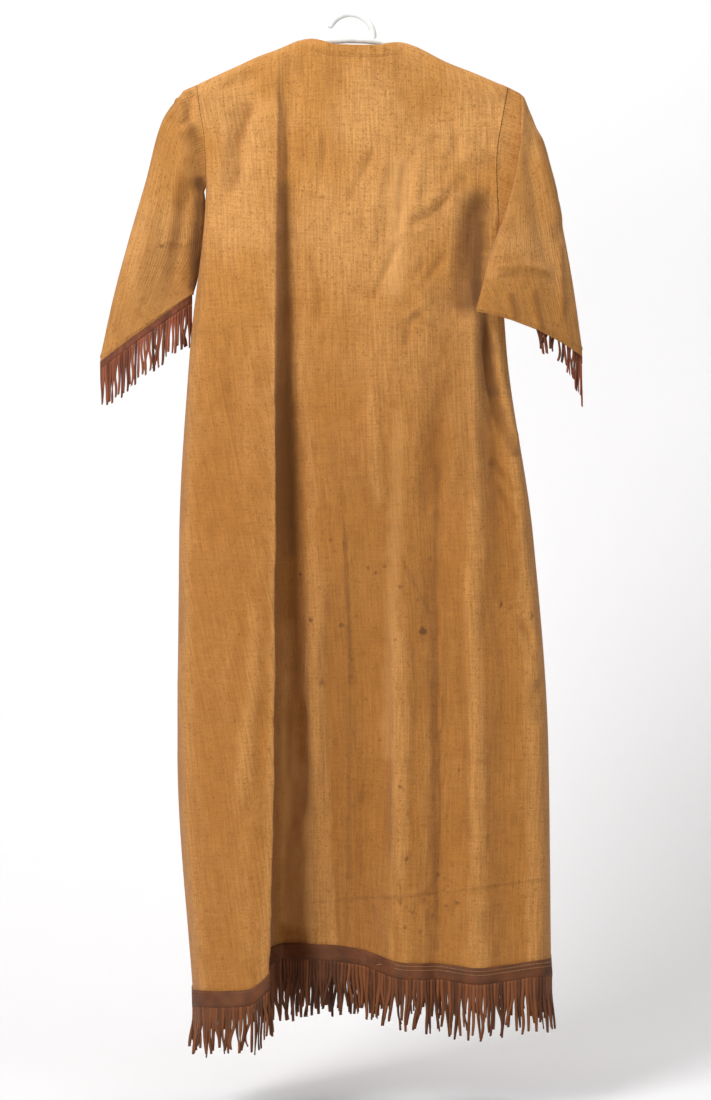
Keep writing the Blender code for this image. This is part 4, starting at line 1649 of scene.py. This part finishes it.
def cuff_edge(sleeve: Sleeve, side: Side) -> Callable[[float, float], tuple[Vector, Vector]]:
    """The line that a cuff band hangs from.

    Args:
        sleeve: The sleeve.
        side: Which half of its cuff.

    Returns:
        A function from a place along that half and a depth below the cuff to a point and the outward
        direction.
    """
    half = sleeve.columns // 2
    last = sleeve.shell[-1]
    line = last[: half + 1] if side is Side.BACK else last[half:][::-1]

    def read(share: float, depth: float) -> tuple[Vector, Vector]:
        """Find a point of the band.

        Args:
            share: The place along the cuff's half, from 0 to 1.
            depth: The distance below the cuff.

        Returns:
            The point and the outward direction.
        """
        place = min(max(share, 0.0), 1.0) * half
        index = min(int(place), half - 1)
        point = line[index].lerp(line[index + 1], place - index)
        outward = Vector((0, side.value, 0))
        return point - outward * 0.3 + Vector((0, 0, 0.8 - depth)), outward

    return read


@dataclass
class Stitching:
    """Rows of short sewn stitches along lines, as one piece."""

    name: str
    pitch: float = 3.4
    stitch: float = 2.5
    radius: float = 0.36

    def __post_init__(self) -> None:
        """Starts the mesh."""
        self.mesh = bmesh.new()
        self.chance = random.Random(len(self.name))
        self.joined = bpy.data.meshes.new(self.name)

    def row(self, line: Sequence[tuple[Vector, Vector]], shade: int = 0) -> None:
        """Sew one row.

        Args:
            line: Close points of the line, each with its outward direction.
            shade: Which of the finishes its thread has.
        """
        run = 0.0
        for (a, outward), (b, _) in zip(line, line[1:]):
            step = (b - a).length
            run += step
            if step and run >= self.pitch:
                run -= self.pitch
                length = self.stitch * self.chance.uniform(0.85, 1.1)
                self.one((a + b) / 2, (b - a) / step, outward, length, shade)
        self.close_row()

    def close_row(self) -> None:
        """Sets the sewn stitches aside, so that each row is quick to add to."""
        self.mesh.from_mesh(self.joined)
        self.mesh.to_mesh(self.joined)
        self.mesh.clear()

    def one(self, middle: Vector, along: Vector, outward: Vector, length: float, shade: int = 0) -> None:
        """Sew one stitch.

        Args:
            middle: Its middle.
            along: Its direction.
            outward: The cloth's outward direction.
            length: Its length.
            shade: Which of the finishes its thread has.
        """
        across = along.cross(outward).normalized()
        up = across.cross(along).normalized()
        size = Vector((length / 2, self.radius, self.radius))
        turned = Matrix((along, across, up)).transposed().to_4x4()
        place = Matrix.Translation(middle + up * self.radius * 0.4) @ turned @ Matrix.Diagonal(size).to_4x4()
        made = bmesh.ops.create_uvsphere(self.mesh, u_segments=6, v_segments=4, radius=1.0, matrix=place)
        for face in {face for vert in made["verts"] for face in vert.link_faces}:
            face.material_index = shade

    def build(self, *finishes: bpy.types.Material) -> bpy.types.Object:
        """Make the piece.

        Args:
            *finishes: The threads, in order of their shade numbers.

        Returns:
            The finished object.
        """
        self.close_row()
        self.mesh.from_mesh(self.joined)
        bpy.data.meshes.remove(self.joined)
        made = finish_mesh(self.name, self.mesh, finishes[0])
        for finish in finishes[1:]:
            made.data.materials.append(finish)
        return made


def band_line(fringe: Fringe, depth: float, start: float, end: float) -> list[tuple[Vector, Vector]]:
    """A line along a fringe's band.

    Args:
        fringe: The fringe.
        depth: The distance below the band's top.
        start: Where it starts along the band.
        end: Where it ends.

    Returns:
        Close points on the band's face, each with its outward direction.
    """
    line = []
    for number in range(501):
        point, outward = fringe.edge(mix(start, end, number / 500), depth)
        line.append((point + outward * LEATHER_THICKNESS / 2, outward))
    return line


def cloth_line(piece: ClothPiece, places: Sequence[tuple[int, int]]) -> list[tuple[Vector, Vector]]:
    """A line over points of a cloth piece's grid.

    Args:
        piece: The piece.
        places: Columns and rows.

    Returns:
        Close points on the cloth's face, each with its outward direction.
    """
    stops = []
    for column, row in places:
        outward = piece.normal(column, row)
        stops.append((piece.shell[row][column] + outward * CLOTH_THICKNESS / 2, outward))
    line = []
    for (a, outward), (b, _) in zip(stops, stops[1:]):
        line += [(a.lerp(b, part / 4), outward) for part in range(4)]
    return line


def neck_places(panel: BodyPanel) -> list[tuple[int, int]]:
    """The grid points just below a panel's turned neck band.

    Args:
        panel: The panel.

    Returns:
        Columns and rows, from shoulder to shoulder.
    """
    result = []
    for column in range(panel.columns + 1):
        top = panel.base[0][column]
        if panel.folded_share(column / panel.columns) > 0.6:
            continue
        row = 0
        while top.z - panel.base[row][column].z < panel.neck_hem + 1:
            row += 1
        result.append((column, row))
    return result


def armhole_places(panel: BodyPanel, column: int) -> list[tuple[int, int]]:
    """The grid points of a panel's edge along an armhole, from the shoulder to the underarm."""
    return [(column, row) for row in range(2, panel.rows) if panel.level_at(row / panel.rows) < 2.95]


def sew_body(panel: BodyPanel, hem: Fringe, *threads: bpy.types.Material) -> bpy.types.Object:
    """Sew a panel's neck band, armholes and hem band.

    Args:
        panel: The panel.
        hem: Its fringe.
        *threads: Tan, dark, brown and pale thread.

    Returns:
        The stitches.
    """
    tan, dark, brown, pale = range(4)
    sewn = Stitching(f"{panel.name.split('_')[0]}_stitches")
    sewn.row(cloth_line(panel, neck_places(panel)), tan)
    sewn.row(cloth_line(panel, armhole_places(panel, 0)), dark)
    sewn.row(cloth_line(panel, armhole_places(panel, panel.columns)), dark)
    for depth, worn_and_shaded in ((3.6, pale), (8.0, pale), (14.0, brown)):
        sewn.row(band_line(hem, depth, 0.014, 0.62), brown)
        sewn.row(band_line(hem, depth, 0.62, 0.986), worn_and_shaded)
    if panel.side is Side.BACK:
        point, outward = hem.edge(0.58, 9.0)
        sewn.one(point + outward * 1.6, Vector((0.9, 0.0, 0.2)).normalized(), outward, 9, pale)
        end = point + outward * 1.8 + Vector((7, 0, 2))
        sewn.one(end, Vector((0.8, 0.0, 0.5)).normalized(), outward, 8, pale)
    return sewn.build(*threads)


def sew_sleeve(sleeve: Sleeve, *threads: bpy.types.Material) -> bpy.types.Object:
    """Sew a sleeve's cuff hem, and the edge of its folded cap where it has one.

    Args:
        sleeve: The sleeve.
        *threads: Tan and pale thread.

    Returns:
        The stitches.
    """
    tan, pale = range(2)
    first, last, middle = 23, sleeve.rows - 8, sleeve.columns // 2 - 2
    sewn = Stitching(f"{sleeve.name.split('_')[0]}_sleeve_stitches")
    sewn.row(cloth_line(sleeve, [(column, last) for column in range(sleeve.columns + 1)]), tan)
    if sleeve.fold_at:
        # The pale stitches along the folded cap's edge are partly real stitching and partly a painted
        # highlight: their pale colour stands in for the highlight along that turned edge.
        sewn.row(cloth_line(sleeve, [(column, first) for column in range(middle + 1)]), pale)
        sewn.row(cloth_line(sleeve, [(middle, row) for row in range(first, last)]), pale)
    return sewn.build(*threads)


@dataclass
class Hanger:
    """A plain moulded hanger: arms under the shoulder line and a hook that rises from their middle."""

    radius: float = 4.0
    hook_radius: float = 27.5
    hook_start: float = 8.0
    hook_end: float = 150.0
    arm_gap: float = 0.6
    wall: float = 1.6
    sides: int = 24

    def build(self, finish: bpy.types.Material) -> bpy.types.Object:
        """Make the hanger.

        Args:
            finish: The plastic.

        Returns:
            The finished object.
        """
        drop = self.wall / 2 + self.arm_gap + self.radius
        bm = bmesh.new()
        steps = 60
        first, last = SHOULDER_LINE[0][0], SHOULDER_LINE[-1][0]
        arm = []
        for step in range(steps + 1):
            x = mix(first, last, step / steps)
            arm.append(Vector((x, 0, shoulder_z(x) - drop)))
        self.add_rod(bm, arm)
        right = self.hook_radius
        hook = [Vector((right, 0, shoulder_z(right) - drop))]
        for step in range(41):
            angle = math.radians(mix(self.hook_start, self.hook_end, step / 40))
            hook.append(Vector((right * math.cos(angle), 0, self.radius - right + right * math.sin(angle))))
        self.add_rod(bm, hook)
        return finish_mesh("hanger_moulded", bm, finish)

    def rounded_end(self, end: Vector, inside: Vector) -> list[tuple[Vector, float]]:
        """Work out the rings of a rounded end.

        Args:
            end: The last point of the rod's path.
            inside: The point before it.

        Returns:
            Each ring's middle and its share of the full size, from the tip inwards.
        """
        outward = (end - inside).normalized()
        result = []
        for place in (0.0, 0.3, 0.6, 0.85, 1.0):
            size = math.sqrt(max(1 - (1 - place) ** 2, 0.04))
            result.append((end + outward * self.radius * (1 - place), size))
        return result

    def add_rod(self, bm: bmesh.types.BMesh, path: Sequence[Vector]) -> None:
        """Extrude a round rod with rounded ends along a path.

        Args:
            bm: The mesh to add to.
            path: The rod's middle line, in the plane y = 0.
        """
        stations = self.rounded_end(path[0], path[1])
        stations += [(point, 1.0) for point in path[1:-1]]
        stations += self.rounded_end(path[-1], path[-2])[::-1]
        made = bmesh.ops.create_circle(bm, cap_ends=True, segments=self.sides, radius=self.radius)
        ring = made["verts"]
        unit = [vert.co.copy() for vert in ring]
        face = next(iter(ring[0].link_faces))
        for number, (middle, size) in enumerate(stations):
            if number:
                face = bmesh.ops.extrude_discrete_faces(bm, faces=[face])["faces"][0]
                ring = list(face.verts)
            before = stations[max(number - 1, 0)][0]
            after = stations[min(number + 1, len(stations) - 1)][0]
            along = (after - before).normalized()
            across = along.cross(Vector((0, 1, 0))).normalized()
            for vert, place in zip(ring, unit):
                vert.co = middle + (across * place.x + Vector((0, 1, 0)) * place.y) * size
        bmesh.ops.recalc_face_normals(bm, faces=bm.faces)


@dataclass(frozen=True)
class Studio:
    """The pale sweep, the soft lights and the camera."""

    floor_z: float = -1.31
    wall_y: float = 1.6
    half_width: float = 4.0
    near_y: float = -5.0
    top_z: float = 3.5

    def build(self) -> None:
        """Makes the whole set."""
        self.sweep()
        self.light("left softbox", (-1.75, -2.55, 1.2), (1.2, 1.7), 114)
        self.light("right softbox", (2.3, -2.9, 0.2), (1.6, 2.2), 12)
        self.light("overhead", (0.2, -0.6, 1.9), (3.0, 2.4), 34)
        self.light("wall light", (0.4, 0.2, 1.9), (3.0, 0.6), 21, (0.7, 1.6, -1.1))
        self.world()
        self.camera()

    def sweep(self) -> None:
        """Makes a floor that curves up into a wall."""
        bm = bmesh.new()
        bmesh.ops.create_grid(bm, x_segments=1, y_segments=1, size=1.0)
        for vert in bm.verts:
            vert.co = Vector((
                math.copysign(self.half_width, vert.co.x),
                self.wall_y if vert.co.y > 0 else self.near_y,
                self.floor_z,
            ))
        far = [edge for edge in bm.edges if all(vert.co.y > 0 for vert in edge.verts)]
        grown = bmesh.ops.extrude_edge_only(bm, edges=far)["geom"]
        raised = [item for item in grown if isinstance(item, bmesh.types.BMVert)]
        bmesh.ops.translate(bm, verts=raised, vec=(0, 0, self.top_z - self.floor_z))
        corner = [edge for edge in bm.edges if len(edge.link_faces) == 2]
        bmesh.ops.bevel(bm, geom=corner, offset=1.2, affect="EDGES", segments=24, profile=0.5, material=-1)
        mesh = bpy.data.meshes.new("sweep")
        bm.to_mesh(mesh)
        bm.free()
        mesh.shade_smooth()
        mesh.materials.append(self.paper())
        made = bpy.data.objects.new("sweep", mesh)
        bpy.context.scene.collection.objects.link(made)

    def paper(self) -> bpy.types.Material:
        """The backdrop's white paper, clear from its far side.

        Returns:
            The material.
        """
        made, write, shader = new_material("backdrop paper")
        shader.inputs["Base Color"].default_value = (0.80, 0.80, 0.81, 1)
        shader.inputs["Roughness"].default_value = 0.95
        far_side = write.add("ShaderNodeNewGeometry").outputs["Backfacing"]
        clear = write.add("ShaderNodeBsdfTransparent").outputs[0]
        either = write.add("ShaderNodeMixShader", i0=far_side, i1=shader.outputs[0], i2=clear)
        write.join(either.outputs[0], made.node_tree.nodes["Material Output"].inputs["Surface"])
        return made

    def light(
        self,
        name: str,
        place: tuple[float, float, float],
        size: tuple[float, float],
        power: float,
        aim: tuple[float, float, float] = (0.0, 0.0, -0.62),
    ) -> None:
        """Add a softbox.

        Args:
            name: Its name.
            place: Where it stands.
            size: Its width and height.
            power: Its power in watts.
            aim: The point that it faces.
        """
        lamp = bpy.data.lights.new(name, "AREA")
        lamp.shape = "RECTANGLE"
        lamp.size, lamp.size_y = size
        lamp.energy = power
        made = bpy.data.objects.new(name, lamp)
        made.location = place
        made.rotation_euler = (Vector(aim) - Vector(place)).to_track_quat("-Z", "Y").to_euler()
        bpy.context.scene.collection.objects.link(made)

    def world(self) -> None:
        """Makes the soft fill light of a white room."""
        world = bpy.data.worlds.new("white room")
        world.use_nodes = True
        background = world.node_tree.nodes["Background"]
        background.inputs["Color"].default_value = (1.0, 0.96, 0.90, 1)
        background.inputs["Strength"].default_value = 0.21
        bpy.context.scene.world = world

    def camera(self) -> None:
        """Makes the camera, level with the middle of the dress."""
        data = bpy.data.cameras.new("camera")
        data.sensor_width = 36.0
        data.lens = 92.7
        made = bpy.data.objects.new("camera", data)
        made.location = (0.006, -3.4, -0.6396)
        made.rotation_euler = (math.radians(90), 0, 0)
        bpy.context.scene.collection.objects.link(made)
        bpy.context.scene.camera = made
        bpy.context.scene.view_settings.view_transform = "Standard"


def main() -> None:
    """Builds every piece in order."""
    logging.basicConfig(level=logging.INFO, format="%(message)s")
    weave = WeaveGroup().build()
    streak = StreakGroup().build()
    body_canvas = CanvasFinish("canvas back", BACK_SPOTS, BACK_STREAKS, BACK_LIGHTER_STREAKS).build(weave, streak)
    front_canvas = CanvasFinish("canvas front").build(weave, streak)
    sleeve_canvas = CanvasFinish("canvas sleeve", SLEEVE_SPOTS, SLEEVE_STREAKS, ribs=1.0).build(weave, streak)
    hem_leather = LeatherFinish("hem leather", light=(0.195, 0.060, 0.016, 1), dark=(0.070, 0.021, 0.006, 1))
    cuff_leather = LeatherFinish("cuff leather", light=(0.260, 0.070, 0.028, 1), dark=(0.080, 0.022, 0.009, 1))
    hem_finish, cuff_finish = hem_leather.build(), cuff_leather.build()
    tan_thread, dark_thread, brown_thread, pale_thread = (
        PlainFinish(f"{name} thread", color, roughness=0.8, grain_scale=900.0, grain_depth=0.0001).build()
        for name, color in THREAD_COLORS.items()
    )
    plastic = PlainFinish(
        "white plastic", (0.84, 0.84, 0.83, 1), roughness=0.38, grain_scale=90.0, grain_depth=0.0001
    ).build()

    back = BodyPanel("back_cloth", columns=180, rows=266, creases=BACK_CREASES, seed=3.0, folds=BACK_FOLDS)
    front = BodyPanel(
        "front_cloth", columns=120, rows=180, creases=FRONT_CREASES, seed=11.0, folds=FRONT_FOLDS,
        side=Side.FRONT,
    )
    back_piece = back.build(body_canvas)
    front_piece = front.build(front_canvas)
    left = Sleeve(
        "left_sleeve_cloth", columns=128, rows=100, creases=LEFT_SLEEVE_CREASES, seed=21.0,
        rings=LEFT_RINGS, panels=(back, front), sign=-1,
    )
    right = Sleeve(
        "right_sleeve_cloth", columns=128, rows=100, creases=RIGHT_SLEEVE_CREASES, seed=31.0,
        rings=RIGHT_RINGS, panels=(back, front), sign=1, fold_at=0.085,
    )
    left_piece = left.build(sleeve_canvas)
    right_piece = right.build(sleeve_canvas)

    back_hem = Fringe(
        "back_hem_fringe", strands=138, length=54, seed=3, edge=hem_edge(back, gap=1.7, flare=1.0),
        start=0.012, end=0.988, growth=10,
    )
    front_hem = Fringe(
        "front_hem_fringe", strands=122, length=54, seed=5, edge=hem_edge(front, gap=1.7, flare=1.0),
        start=0.012, end=0.988, growth=10,
    )
    back_fringe = back_hem.build(hem_finish)
    front_fringe = front_hem.build(hem_finish)
    left_fringe = Fringe(
        "left_cuff_fringe", strands=34, length=50, seed=7, edge=cuff_edge(left, Side.BACK),
        start=0.03, end=0.985, band_height=10, spread=0.9,
    ).build(cuff_finish)
    right_fringe = Fringe(
        "right_cuff_fringe", strands=20, length=50, seed=11, edge=cuff_edge(right, Side.FRONT),
        start=0.03, end=0.55, band_height=10, spread=1.3,
    ).build(cuff_finish)
    hanger = Hanger().build(plastic)
    threads = (tan_thread, dark_thread, brown_thread, pale_thread)
    back_stitches = sew_body(back, back_hem, *threads)
    front_stitches = sew_body(front, front_hem, *threads)
    left_stitches = sew_sleeve(left, tan_thread, pale_thread)
    right_stitches = sew_sleeve(right, tan_thread, pale_thread)

    for piece, node, slot in (
        (back_piece, "back_panel", "canvas"),
        (front_piece, "front_panel", "canvas"),
        (left_piece, "sleeve_left", "canvas"),
        (right_piece, "sleeve_right", "canvas"),
        (back_fringe, "hem_fringe_back", "leather"),
        (front_fringe, "hem_fringe_front", "leather"),
        (left_fringe, "cuff_fringe_left", "leather"),
        (right_fringe, "cuff_fringe_right", "leather"),
        (hanger, "hanger", "white_plastic"),
    ):
        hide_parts(node)
    Studio().build()


if __name__ == "__main__":
    main()
